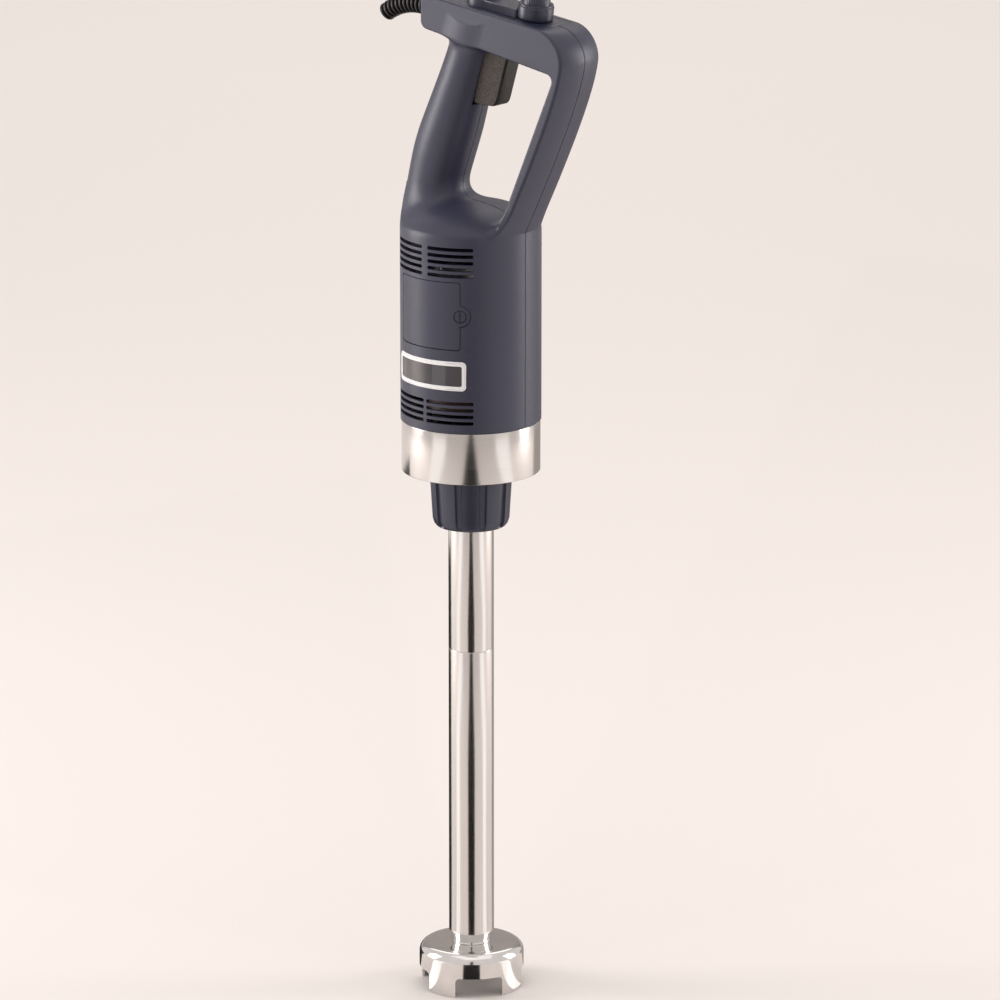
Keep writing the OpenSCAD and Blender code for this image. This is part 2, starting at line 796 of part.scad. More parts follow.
module button_bezel() {
    color("#50505a") on_bar(button_x) difference() {
        translate([0, 0, 1.5]) cylinder(r = button_r + 3, h = 5.5);
        translate([0, 0, 1]) cylinder(r = button_r + 0.1, h = 9);
    }
}

button_low = button_travel + 1.7;
stop_z = -plate_t - handle_wall;

module round_button() {
    color("#222228") on_bar(button_x) {
        rotate_extrude() polygon(concat([[0, button_low], [button_r, button_low], [button_r, 9]],
            arc([button_r - 1.5, 9], 1.5, 0, 90, 4), [[0, 11]]));
        translate([0, 0, stop_z - 4]) cylinder(r = 3, h = button_low + 1 - stop_z + 3);
        translate([0, 0, stop_z - 1.8]) cylinder(r = 5.2, h = 1.4);
    }
}

board_z = -17.6;
board_t = 1.6;
switch_h = 5;

module button_switch() {
    color("black") on_bar(button_x) translate([-6, -6, board_z + board_t]) cube([12, 12, switch_h]);
}

module button_spring() {
    low = board_z + board_t + switch_h;
    color("silver") on_bar(button_x) translate([0, 0, low]) difference() {
        cylinder(r = 4.6, h = stop_z - 1.9 - low);
        translate([0, 0, -over]) cylinder(r = 3.7, h = 20);
    }
}

module control_board() { color("darkgreen") on_bar() translate([4, -17, board_z]) cube([86, 34, board_t]); }

pot_h = 9;
dial_bore = 3;

module speed_potentiometer() {
    color("royalblue") on_bar(dial_x) difference() {
        translate([0, 0, board_z + board_t]) cylinder(r = 8, h = pot_h);
        translate([0, 0, board_z + board_t + 2]) cylinder(r = dial_bore + slack, h = pot_h);
    }
}

module dial_spindle() {
    low = board_z + board_t + 2.4;
    color("silver") on_bar(dial_x) translate([0, 0, low]) cylinder(r = dial_bore, h = 8 - low);
}

module speed_dial() {
    color("#3c3c48") on_bar(dial_x) difference() {
        rotate_extrude() polygon([[0, 0.4], [dial_r, 0.4], [dial_r, dial_h - 1], [dial_r - 1, dial_h],
            [dial_r - 2.5, dial_h], [dial_r - 3, dial_h + 6], [dial_r - 4, dial_h + 7], [0, dial_h + 7]]);
        translate([0, 0, -over]) cylinder(r = dial_bore, h = 8 + over);
    }
}

// ---- Trigger ----

module trigger() {
    x = pivot[0];
    low = trigger_low;
    color("#33302e") difference() {
        across(trigger_w) polygon([[x - 4, pivot[1] + 5], [x + 4, pivot[1] + 5], [x + 6, pivot[1] - 13],
            [x + 28, low + 47], [x + 15.5, low + 7], [x + 11, low + 1.5], [x + 4, low], [x - 12, low + 1.5],
            [trigger_back, low + 42]]);
        at_pin(1.5 + slack, 2 * trigger_w);
    }
}

module trigger_pin() { color("silver") at_pin(1.5, 2 * half_w - 8); }

switch_z = trigger_low + 16;
trigger_back = pivot[0] - 5;

module trigger_switch() {
    x = grip_x(switch_z) - 12;
    color("black") translate([x, -8, switch_z]) cube([14, 16, 24]);
}

module trigger_spring() {
    x = grip_x(switch_z) + 2;
    z = switch_z + 8;
    color("silver") translate([x, 0, z]) rotate([0, 90, 0]) difference() {
        cylinder(r = 3.5, h = trigger_back - 5.5 - x);
        translate([0, 0, -over]) cylinder(r = 2.7, h = 30);
    }
}

// ---- Cable entry ----

ribs = 14;

// Places its child on the boot's centre line, l along from the bar's end
module on_boot(l) {
    bent = max(0, l - boot_straight);
    a = bent / boot_bend_r * 180 / PI;
    x = bar_end - min(l, boot_straight) - boot_bend_r * sin(a);
    translate([x, 0, boot_z - boot_bend_r * (1 - cos(a))]) rotate([0, -90 - a, 0]) children();
}

module boot_curve(r) {
    translate([bar_end - boot_straight, 0, boot_z - boot_bend_r]) rotate([90, 0, 0])
        rotate([0, 0, 90]) rotate_extrude(angle = boot_bend)
            translate([boot_bend_r, 0]) circle(r = r, $fn = 48);
}

boot_l = boot_straight + boot_bend_r * boot_bend * PI / 180;

module cable_boot() {
    core = boot_r - 2.2;
    color("#151515") difference() {
        union() {
            translate([bar_end - boot_straight, 0, boot_z]) rotate([0, 90, 0])
                cylinder(r = core, h = boot_straight + handle_wall);
            boot_curve(core);
            translate([bar_end + handle_wall, 0, boot_z]) rotate([0, 90, 0]) cylinder(r = boot_r, h = 2);
            for (i = [0:ribs - 1]) on_boot(0.3 + i * (boot_l - 2.8) / (ribs - 1))
                cylinder(r = boot_r - 1.5 * i / ribs, h = 2.3);
        }
        translate([bar_end - boot_straight, 0, boot_z]) rotate([0, 90, 0])
            cylinder(r = boot_bore - 0.1, h = boot_straight + handle_wall + 5);
        boot_curve(boot_bore - 0.1);
        on_boot(boot_l) translate([0, 0, -12]) cylinder(r = boot_bore, h = 12 + over);
    }
}

module cable_clamp() {
    color("gray") difference() {
        translate([bar_end + 7, -9, boot_z - 7]) cube([6, 18, 14]);
        translate([bar_end, 0, boot_z]) rotate([0, 90, 0]) cylinder(r = boot_bore, h = 30);
    }
}

bell();
bell_collar();
shaft_seal();
lower_bush();
lower_tube();
upper_tube();
tube_sleeve();
steady_bush();
tube_flange();
arm_bearing();
coupling_nut();
drive_shaft();
shaft_dog();
blade_hub();
blade();
blade_nut();
motor_base();
base_screws();
lower_bearing();
steel_band();
stator_core();
stator_windings();
stator_bolts();
end_bracket();
upper_bearing();
brush_holders();
carbon_brushes();
brush_springs();
motor_shaft();
armature_core();
armature_windings();
commutator();
cooling_fan();
drive_dog();
right_shell();
left_shell();
shell_screws();
right_brush_cover();
left_brush_cover();
cover_caps();
badge_bezel();
badge_lens();
control_plate();
button_bezel();
control_board();
speed_potentiometer();
button_switch();
dial_spindle();
speed_dial();
round_button();
button_spring();
trigger();
trigger_pin();
trigger_switch();
trigger_spring();
cable_boot();
cable_clamp();
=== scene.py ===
"""Visual model of a commercial immersion blender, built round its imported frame.

Lengths are in millimetres until a mesh is made, where they turn into metres. The frame is the part's
own: origin at the centre of the bell's rim, +Z up the tube, +X towards the handle's strut, -Y towards
the badge.
"""

import json
import logging
import math
from dataclasses import dataclass, field
from enum import Enum
from typing import Callable, Iterable, Sequence

import bmesh
import bpy
import numpy as np
import openvdb
from mathutils import Matrix, Vector

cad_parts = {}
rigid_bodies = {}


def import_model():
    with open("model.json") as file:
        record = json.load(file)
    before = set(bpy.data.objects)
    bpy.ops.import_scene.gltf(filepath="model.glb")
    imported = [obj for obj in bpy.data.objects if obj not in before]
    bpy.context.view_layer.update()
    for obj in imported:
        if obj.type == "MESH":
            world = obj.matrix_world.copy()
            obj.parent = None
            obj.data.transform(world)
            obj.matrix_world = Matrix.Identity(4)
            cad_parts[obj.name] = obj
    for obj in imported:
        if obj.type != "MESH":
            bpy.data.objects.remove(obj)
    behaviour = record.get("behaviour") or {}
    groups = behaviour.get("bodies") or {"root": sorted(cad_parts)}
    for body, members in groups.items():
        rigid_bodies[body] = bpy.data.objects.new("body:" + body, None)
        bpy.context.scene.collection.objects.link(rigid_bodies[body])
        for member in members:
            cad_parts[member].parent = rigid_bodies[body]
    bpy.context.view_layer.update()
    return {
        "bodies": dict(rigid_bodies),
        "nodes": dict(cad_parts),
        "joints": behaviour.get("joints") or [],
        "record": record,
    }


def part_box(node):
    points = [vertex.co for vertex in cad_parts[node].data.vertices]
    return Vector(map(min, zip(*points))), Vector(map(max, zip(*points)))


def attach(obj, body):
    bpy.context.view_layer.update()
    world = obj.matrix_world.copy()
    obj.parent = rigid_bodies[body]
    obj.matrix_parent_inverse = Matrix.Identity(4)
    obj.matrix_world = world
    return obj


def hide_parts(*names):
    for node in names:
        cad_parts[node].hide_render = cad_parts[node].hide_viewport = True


LOG = logging.getLogger("blender_looks")
MM = 0.001

Point = tuple[float, float]
Polar = tuple[float, float]
Corner = tuple[float, float, float]
Colour = tuple[float, float, float]
Column = tuple[float, float, float]
Field = Callable[[np.ndarray, np.ndarray, np.ndarray], np.ndarray]


# ---- Outlines ----


def arc(centre: Point, radius: float, start: float, end: float, steps: int = 8) -> list[Point]:
    """Points on an arc.

    Args:
        centre: Centre of the arc.
        radius: Radius of the arc.
        start: First angle, in degrees.
        end: Last angle, in degrees.
        steps: Number of chords.

    Returns:
        The points, both ends included.
    """
    angles = np.radians(np.linspace(start, end, steps + 1))
    return [(centre[0] + radius * math.cos(a), centre[1] + radius * math.sin(a)) for a in angles]


def rounded(corners: Sequence[Corner], steps: int = 5) -> list[Point]:
    """A closed outline with a fillet at each corner.

    Args:
        corners: Corners as (x, y, fillet radius).
        steps: Chords per fillet.

    Returns:
        The outline's points.
    """
    outline: list[Point] = []
    for i, (x, y, radius) in enumerate(corners):
        if radius <= 0:
            outline.append((x, y))
            continue
        here = np.array((x, y), float)
        back = np.array(corners[i - 1][:2], float) - here
        ahead = np.array(corners[(i + 1) % len(corners)][:2], float) - here
        reach_limit = 0.49 * min(np.linalg.norm(back), np.linalg.norm(ahead))
        back /= np.linalg.norm(back)
        ahead /= np.linalg.norm(ahead)
        half = math.acos(float(np.clip(back @ ahead, -1, 1))) / 2
        reach = min(radius / math.tan(half), reach_limit)
        true_radius = reach * math.tan(half)
        middle = (back + ahead) / np.linalg.norm(back + ahead)
        centre = here + middle * true_radius / math.sin(half)
        first, last = here + back * reach - centre, here + ahead * reach - centre
        start = math.atan2(first[1], first[0])
        turn = (math.atan2(last[1], last[0]) - start + math.pi) % math.tau - math.pi
        for k in range(steps + 1):
            angle = start + turn * k / steps
            outline.append((centre[0] + true_radius * math.cos(angle),
                            centre[1] + true_radius * math.sin(angle)))
    return outline


def box_outline(x0: float, y0: float, x1: float, y1: float, radius: float) -> list[Point]:
    """A rectangle's outline with equal fillets."""
    return rounded([(x0, y0, radius), (x1, y0, radius), (x1, y1, radius), (x0, y1, radius)])


# ---- Meshes ----


@dataclass
class Solid:
    """A closed surface in millimetres.

    Attributes:
        points: Its points, one in a row.
        faces: Its faces, as tuples of point numbers.
    """

    points: np.ndarray
    faces: list[tuple[int, ...]]

    def joined(self, other: "Solid") -> "Solid":
        """This surface and another in one."""
        shift = len(self.points)
        moved = [tuple(i + shift for i in face) for face in other.faces]
        return Solid(np.vstack((self.points, other.points)), self.faces + moved)

    def placed(self, matrix: Matrix) -> "Solid":
        """This surface moved by a matrix whose shift is in millimetres."""
        turn = np.array(matrix.to_3x3())
        return Solid(self.points @ turn.T + np.array(matrix.translation), self.faces)


def join(solids: Iterable[Solid]) -> Solid:
    """Several separate surfaces in one."""
    first, *rest = list(solids)
    for solid in rest:
        first = first.joined(solid)
    return first


def revolve(
    outline: Sequence[Point], steps: int = 128, groove: Callable[[float], float] | None = None,
    weights: Sequence[float] | None = None,
) -> Solid:
    """A closed outline in (radius, height) turned round Z.

    Args:
        outline: Outline of the section.
        steps: Number of sections in a turn.
        groove: Depth to take off the radius at an angle in degrees, if any.
        weights: Share of the groove's depth that each outline point takes.

    Returns:
        The ring.
    """
    radii = np.array([p[0] for p in outline])
    heights = np.array([p[1] for p in outline])
    share = np.array(weights) if weights is not None else np.zeros(len(radii))
    rows = []
    for k in range(steps):
        angle = math.tau * k / steps
        depth = groove(math.degrees(angle)) if groove else 0.0
        r = radii - depth * share
        rows.append(np.column_stack((r * math.cos(angle), r * math.sin(angle), heights)))
    n = len(outline)
    faces = [
        (k * n + i, (k + 1) % steps * n + i, (k + 1) % steps * n + (i + 1) % n, k * n + (i + 1) % n)
        for k in range(steps)
        for i in range(n)
    ]
    return Solid(np.vstack(rows), faces)


def prism(outline: Sequence[Point], low: float, high: float) -> Solid:
    """An outline in X and Y, raised from one height to another."""
    n = len(outline)
    points = [(x, y, z) for z in (low, high) for x, y in outline]
    faces: list[tuple[int, ...]] = [(i, (i + 1) % n, n + (i + 1) % n, n + i) for i in range(n)]
    faces += [tuple(range(n))[::-1], tuple(range(n, 2 * n))]
    return Solid(np.array(points, float), faces)


def across(outline: Sequence[Point], half: float) -> Solid:
    """An outline in X and Z, made 2 * half wide about the middle plane."""
    solid = prism(outline, -half, half)
    return Solid(solid.points[:, [0, 2, 1]] * np.array((1, -1, 1)), solid.faces)


def block(x0: float, x1: float, y0: float, y1: float, z0: float, z1: float) -> Solid:
    """A plain cutting block."""
    return prism([(x0, y0), (x1, y0), (x1, y1), (x0, y1)], z0, z1)


def disc(radius: float, low: float, high: float, steps: int = 64) -> Solid:
    """A plain cutting cylinder round Z."""
    return prism(arc((0, 0), radius, 0, 360 - 360 / steps, steps - 1), low, high)


def panel_columns(
    start: float, end: float, low: float, high: float, corner: float, radius: float
) -> list[Column]:
    """Columns of a panel with rounded corners, for wrapped().

    Args:
        start: First angle, in degrees.
        end: Last angle, in degrees.
        low: Lower edge.
        high: Upper edge.
        corner: Radius of the corners.
        radius: Radius that the panel is wrapped round.

    Returns:
        Columns as (angle, lower edge, upper edge).
    """
    length = math.radians(end - start) * radius
    corner = min(corner, 0.49 * (high - low))
    turn = [corner * (1 - math.cos(math.radians(a))) for a in range(0, 90, 15)]
    middle = max(2, int(length / 2.5))
    flat = list(np.linspace(corner, length - corner, middle))
    stations = turn + flat + [length - t for t in reversed(turn)]
    columns = []
    for s in stations:
        d = min(s, length - s)
        inset = corner - math.sqrt(max(corner**2 - (corner - d) ** 2, 0)) if d < corner else 0
        columns.append((start + math.degrees(s / radius), low + inset, high - inset))
    return columns


def wrapped(columns: Sequence[Column], inner: float, outer: float, chamfer: float = 0.0) -> Solid:
    """A panel wrapped round Z between two radii, with its outer edges chamfered.

    Args:
        columns: Columns as (angle, lower edge, upper edge).
        inner: Inner radius.
        outer: Outer radius.
        chamfer: Width of the chamfer, or 0 for none.

    Returns:
        The closed panel.
    """
    middle = (columns[0][0] + columns[-1][0]) / 2
    turn = math.degrees(chamfer / outer)
    points = []
    for angle, low, high in columns:
        section = [(angle, inner, low), (angle, outer - chamfer, low)]
        if chamfer:
            near = angle + (turn if angle < middle else -turn)
            lip = min(chamfer, 0.45 * (high - low))
            section += [(near, outer, low + lip), (near, outer, high - lip)]
        section += [(angle, outer - chamfer, high), (angle, inner, high)]
        points += [(r * math.cos(math.radians(a)), r * math.sin(math.radians(a)), z) for a, r, z in section]
    n = len(points) // len(columns)
    faces: list[tuple[int, ...]] = [tuple(range(n)), tuple(range(len(points) - n, len(points)))[::-1]]
    for a in range(0, len(points) - n, n):
        faces += [(a + i, a + (i + 1) % n, a + n + (i + 1) % n, a + n + i) for i in range(n)]
    return Solid(np.array(points, float), faces)


def swept(stations: Sequence[Point], path: Callable[[float], Matrix], sides: int = 48) -> Solid:
    """Round sections along a path; the first and last close on the path itself.

    Args:
        stations: Sections as (distance along the path, radius).
        path: Gives the frame at a distance, with the path along its Z.
        sides: Points round a section.

    Returns:
        The closed surface.
    """
    ring = np.array([(math.cos(a), math.sin(a), 0) for a in np.linspace(0, math.tau, sides, endpoint=False)])
    rows = []
    for distance, radius in stations:
        matrix = path(distance)
        rows.append((ring * radius) @ np.array(matrix.to_3x3()).T + np.array(matrix.translation))
    faces: list[tuple[int, ...]] = []
    for k in range(len(stations) - 1):
        a, b = k * sides, (k + 1) * sides
        faces += [(a + i, a + (i + 1) % sides, b + (i + 1) % sides, b + i) for i in range(sides)]
    faces.append(tuple(range(sides))[::-1])
    faces.append(tuple(range(len(rows) * sides - sides, len(rows) * sides)))
    return Solid(np.vstack(rows), faces)


def make(name: str, solid: Solid, sharp: float = 32) -> bpy.types.Object:
    """Makes an object of a closed surface, shaded smooth except at its sharp edges.

    Args:
        name: Name of the piece.
        solid: Its surface.
        sharp: Angle between faces above which an edge stays sharp, in degrees.

    Returns:
        The object.
    """
    mesh = bpy.data.meshes.new(name)
    mesh.from_pydata((solid.points * MM).tolist(), [], solid.faces)
    work = bmesh.new()
    work.from_mesh(mesh)
    bmesh.ops.remove_doubles(work, verts=work.verts, dist=1e-7)
    bmesh.ops.recalc_face_normals(work, faces=work.faces)
    work.to_mesh(mesh)
    work.free()
    mesh.shade_smooth()
    mesh.set_sharp_from_angle(angle=math.radians(sharp))
    piece = bpy.data.objects.new(name, mesh)
    bpy.context.scene.collection.objects.link(piece)
    return piece


def apply_modifiers(piece: bpy.types.Object) -> None:
    """Puts a piece's modifiers into its mesh."""
    graph = bpy.context.evaluated_depsgraph_get()
    mesh = bpy.data.meshes.new_from_object(piece.evaluated_get(graph))
    mesh.name = piece.name
    piece.modifiers.clear()
    piece.data = mesh


def bevelled(piece: bpy.types.Object, width: float, segments: int = 3, limit: float = 35) -> bpy.types.Object:
    """Rounds a piece's sharp edges.

    Args:
        piece: The piece.
        width: Width of the bevel.
        segments: Facets across the bevel.
        limit: Angle between faces above which an edge is rounded, in degrees.

    Returns:
        The piece.
    """
    bevel = piece.modifiers.new("edges", "BEVEL")
    bevel.width = width * MM
    bevel.segments = segments
    bevel.limit_method = "ANGLE"
    bevel.angle_limit = math.radians(limit)
    apply_modifiers(piece)
    piece.data.shade_smooth()
    piece.data.set_sharp_from_angle(angle=math.radians(50))
    return piece


class Cut(Enum):
    """What a tool does to a body."""

    AWAY = "DIFFERENCE"
    KEEP = "INTERSECT"
    ADD = "UNION"


def carve(
    piece: bpy.types.Object, tools: Iterable[Solid], cut: Cut = Cut.AWAY, sharp: float = 32
) -> bpy.types.Object:
    """Cuts a piece with closed tools, one after another.

    Args:
        piece: The piece to cut.
        tools: The tools' surfaces.
        cut: What the tools do.
        sharp: Angle above which an edge stays sharp, in degrees.

    Returns:
        The piece.
    """
    spent = []
    for tool in tools:
        spent.append(make("tool", tool))
        modifier = piece.modifiers.new("carve", "BOOLEAN")
        modifier.operation = cut.value
        modifier.solver = "MANIFOLD"
        modifier.object = spent[-1]
    apply_modifiers(piece)
    for tool_piece in spent:
        bpy.data.objects.remove(tool_piece)
    piece.data.shade_smooth()
    piece.data.set_sharp_from_angle(angle=math.radians(sharp))
    return piece


def taken(piece: bpy.types.Object) -> Solid:
    """Takes a piece out of the scene and returns its surface."""
    points = np.array([v.co / MM for v in piece.data.vertices])
    solid = Solid(points, [tuple(p.vertices) for p in piece.data.polygons])
    bpy.data.objects.remove(piece)
    return solid


# ---- Surfaces given by a field ----


def round_union(a: np.ndarray, b: np.ndarray, radius: float) -> np.ndarray:
    """Union of two fields with a fillet of a radius in the corner between them."""
    outside = np.hypot(np.maximum(radius - a, 0), np.maximum(radius - b, 0))
    return np.maximum(radius, np.minimum(a, b)) - outside


def round_cut(a: np.ndarray, b: np.ndarray, radius: float) -> np.ndarray:
    """Intersection of two fields with its edge rounded to a radius."""
    inside = np.hypot(np.maximum(radius + a, 0), np.maximum(radius + b, 0))
    return np.minimum(-radius, np.maximum(a, b)) + inside


def soft_union(a: np.ndarray, b: np.ndarray, reach: float) -> np.ndarray:
    """Union of two fields that flow into each other over a reach."""
    share = np.maximum(reach - np.abs(a - b), 0) / reach
    return np.minimum(a, b) - share**2 * reach / 4


def gradient(surface: Field, points: np.ndarray, step: float = 0.02) -> np.ndarray:
    """The field's gradient at each point, by central differences."""
    sides = []
    for axis in range(3):
        shift = np.zeros(3)
        shift[axis] = step
        sides.append(surface(*(points + shift).T) - surface(*(points - shift).T))
    return np.column_stack(sides) / (2 * step)


def settle(surface: Field, points: np.ndarray, near: float) -> np.ndarray:
    """Moves the points that lie near a field's surface onto it.

    Args:
        surface: The field.
        points: The points.
        near: How close to the surface a point must be to be moved.

    Returns:
        The points, moved.
    """
    moved = points.copy()
    chosen = np.abs(surface(*points.T)) < near
    for _ in range(4):
        here = moved[chosen]
        slope = gradient(surface, here)
        length = np.maximum((slope**2).sum(1), 0.05)
        moved[chosen] = here - slope * (surface(*here.T) / length)[:, None]
    return moved


def skin(surface: Field, low: Sequence[float], high: Sequence[float], cell: float) -> Solid:
    """The closed surface where a field is zero, within a box.

    Args:
        surface: The field, negative inside.
        low: Lowest corner of the box.
        high: Highest corner of the box.
        cell: Size of a sampling cell.

    Returns:
        The surface.
    """
    x, y, z = (np.arange(a, b + cell, cell) for a, b in zip(low, high))
    values = np.array(np.broadcast_to(surface(x[:, None, None], y[None, :, None], z[None, None, :]),
                                      (len(x), len(y), len(z))))
    for axis in range(3):
        for end in (0, -1):
            face = [slice(None)] * 3
            face[axis] = end
            values[tuple(face)] = np.maximum(values[tuple(face)], cell)
    grid = openvdb.FloatGrid()
    grid.copyFromArray(values.astype(np.float32))
    points, triangles, quads = grid.convertToPolygons(isovalue=0.0, adaptivity=0.0)
    points = settle(surface, points.astype(float) * cell + np.array(low), 0.7 * cell)
    return Solid(points, [tuple(f) for f in triangles.tolist()] + [tuple(f) for f in quads.tolist()])


def dress_normals(piece: bpy.types.Object, surface: Field, side: float) -> None:
    """Shades the faces that lie on a field's surface by the field's own slope, and the rest flat.

    Args:
        piece: The piece.
        surface: The field.
        side: 1 or -1, the side of the middle plane that the piece is on.
    """
    mesh = piece.data
    count = len(mesh.vertices)
    points = np.zeros(count * 3)
    mesh.vertices.foreach_get("co", points)
    points = points.reshape(-1, 3) / MM
    points[:, 1] *= side
    slope = gradient(surface, points)
    slope /= np.maximum(np.linalg.norm(slope, axis=1), 1e-6)[:, None]
    on_skin = np.abs(surface(*points.T)) < 0.06
    slope[:, 1] *= side
    owner = np.zeros(len(mesh.loops), int)
    mesh.loops.foreach_get("vertex_index", owner)
    sizes = np.zeros(len(mesh.polygons), int)
    mesh.polygons.foreach_get("loop_total", sizes)
    flat = np.zeros(len(mesh.polygons) * 3)
    mesh.polygons.foreach_get("normal", flat)
    flat = np.repeat(flat.reshape(-1, 3), sizes, axis=0)
    starts = np.concatenate(([0], np.cumsum(sizes)[:-1]))
    agrees = (slope[owner] * flat).sum(1) > 0.7
    good = np.minimum.reduceat((on_skin[owner] & agrees).astype(int), starts)
    good = np.repeat(good, sizes).astype(bool)
    normals = np.where(good[:, None], slope[owner], flat)
    mesh.shade_smooth()
    mesh.normals_split_custom_set(normals.tolist())


# ---- Finishes ----


class Graph:
    """A material's nodes, made one by one round a Principled shader."""

    def __init__(self, name: str) -> None:
        """Starts an empty material of a name."""
        self.material = bpy.data.materials.new(name)
        self.material.use_nodes = True
        self.tree = self.material.node_tree
        self.tree.nodes.clear()
        self.shader = self.node("ShaderNodeBsdfPrincipled")
        output = self.node("ShaderNodeOutputMaterial")
        self.tree.links.new(self.shader.outputs[0], output.inputs["Surface"])
        self.place = self.node("ShaderNodeTexCoord").outputs["Object"]

    def node(self, kind: str, inputs: dict | None = None, **settings) -> bpy.types.Node:
        """Adds a node.

        Args:
            kind: The node's type.
            inputs: Values or sockets for its inputs, by name or number.
            settings: Its own settings.

        Returns:
            The node.
        """
        made = self.tree.nodes.new(kind)
        for key, value in settings.items():
            setattr(made, key, value)
        for key, value in (inputs or {}).items():
            if isinstance(value, bpy.types.NodeSocket):
                self.tree.links.new(value, made.inputs[key])
            else:
                made.inputs[key].default_value = value
        return made

    def stretched(self, scale: tuple[float, float, float]) -> bpy.types.NodeSocket:
        """Object coordinates, scaled along each axis."""
        return self.node("ShaderNodeMapping", {"Vector": self.place, "Scale": scale}).outputs[0]

    def noise(
        self, scale: tuple[float, float, float], detail: float = 2, rough: float = 0.5
    ) -> bpy.types.NodeSocket:
        """Noise whose features are 1 / scale metres long on each axis."""
        inputs = {"Vector": self.stretched(scale), "Scale": 1.0, "Detail": detail, "Roughness": rough}
        return self.node("ShaderNodeTexNoise", inputs).outputs["Fac"]

    def cells(self, size: float, feature: str = "DISTANCE_TO_EDGE") -> bpy.types.NodeSocket:
        """Cells of a size in millimetres: distance to a cell's edge or to its middle."""
        inputs = {"Vector": self.place, "Scale": 1 / (size * MM)}
        return self.node("ShaderNodeTexVoronoi", inputs, feature=feature).outputs["Distance"]

    def span(
        self, value: bpy.types.NodeSocket, low: float, high: float, start: float = 0.3, end: float = 0.7
    ) -> bpy.types.NodeSocket:
        """A value from start to end, mapped to low to high and held at both ends."""
        inputs = {"Value": value, "From Min": start, "From Max": end, "To Min": low, "To Max": high}
        return self.node("ShaderNodeMapRange", inputs).outputs["Result"]

    def blend(self, share: bpy.types.NodeSocket, a: Colour, b: Colour) -> bpy.types.NodeSocket:
        """A colour between two."""
        mixer = self.node("ShaderNodeMix", data_type="RGBA")
        self.tree.links.new(share, mixer.inputs[0])
        mixer.inputs[6].default_value = (*a, 1)
        mixer.inputs[7].default_value = (*b, 1)
        return mixer.outputs[2]

    def add(self, a: bpy.types.NodeSocket, b: bpy.types.NodeSocket, share: float) -> bpy.types.NodeSocket:
        """The first value plus a share of the second."""
        return self.node("ShaderNodeMath", {0: b, 1: share, 2: a}, operation="MULTIPLY_ADD").outputs[0]

    def relief(self, height: bpy.types.NodeSocket, depth: float, strength: float = 1.0) -> None:
        """Gives the surface a relief of a depth in millimetres."""
        inputs = {"Height": height, "Distance": depth * MM, "Strength": strength}
        bump = self.node("ShaderNodeBump", inputs)
        self.tree.links.new(bump.outputs[0], self.shader.inputs["Normal"])

    def set(self, **values: float | tuple) -> None:
        """Sets the shader's own sockets; an underscore stands for a space."""
        for key, value in values.items():
            self.shader.inputs[key.replace("_", " ")].default_value = value

    def wire(self, name: str, socket: bpy.types.NodeSocket) -> None:
        """Links a value that varies over the surface to one of the shader's sockets."""
        self.tree.links.new(socket, self.shader.inputs[name])


def shade(colour: Colour, factor: float) -> Colour:
    """A colour made lighter or darker."""
    return tuple(min(c * factor, 1.0) for c in colour)


@dataclass(frozen=True)
class Moulding:
    """Moulded plastic with a spark-eroded grain.

    Attributes:
        colour: Colour of the plastic.
        grain: Size of the grain, in millimetres.
        depth: Depth of the grain, in millimetres.
        rough: Lowest and highest roughness.
        shine: Specular level.
    """

    colour: Colour
    grain: float = 0.7
    depth: float = 0.035
    rough: tuple[float, float] = (0.4, 0.52)
    shine: float = 0.45

    def material(self, name: str) -> bpy.types.Material:
        """Makes the material under a name."""
        g = Graph(name)
        fine = 1 / (self.grain * MM)
        pits = g.noise((fine, fine, fine), 3, 0.65)
        flow = g.noise((9, 9, 5), 2)
        tint = g.span(g.add(pits, flow, 0.4), 0, 1, 0.45, 0.95)
        g.wire("Base Color", g.blend(tint, shade(self.colour, 0.84), shade(self.colour, 1.16)))
        g.wire("Roughness", g.span(g.add(pits, flow, 0.6), *self.rough, 0.55, 1.05))
        g.relief(pits, self.depth)
        g.set(Specular_IOR_Level=self.shine)
        return g.material


class Brush(Enum):
    """How a metal was worked: the stretch of its marks along X, Y and Z, per metre."""

    ALONG = (1500, 1500, 7)
    AROUND = (14, 14, 2200)
    TURNED = (40, 40, 1600)
    POLISHED = (60, 60, 60)
    CAST = (700, 700, 700)


@dataclass(frozen=True)
class Metal:
    """A metal with the marks of its working, and faint smears.

    Attributes:
        colour: Colour of the metal.
        brush: How it was worked.
        rough: Lowest and highest roughness.
        depth: Depth of the marks, in millimetres.
    """

    colour: Colour
    brush: Brush
    rough: tuple[float, float] = (0.18, 0.3)
    depth: float = 0.004

    def material(self, name: str) -> bpy.types.Material:
        """Makes the material under a name."""
        g = Graph(name)
        marks = g.noise(self.brush.value, 4, 0.6)
        smears = g.noise((22, 22, 11), 3, 0.55)
        g.wire("Base Color", g.blend(g.span(marks, 0, 1), shade(self.colour, 0.94), shade(self.colour, 1.04)))
        g.wire("Roughness", g.span(g.add(marks, smears, 0.8), *self.rough, 0.6, 1.2))
        g.relief(marks, self.depth)
        g.set(Metallic=1.0)
        return g.material


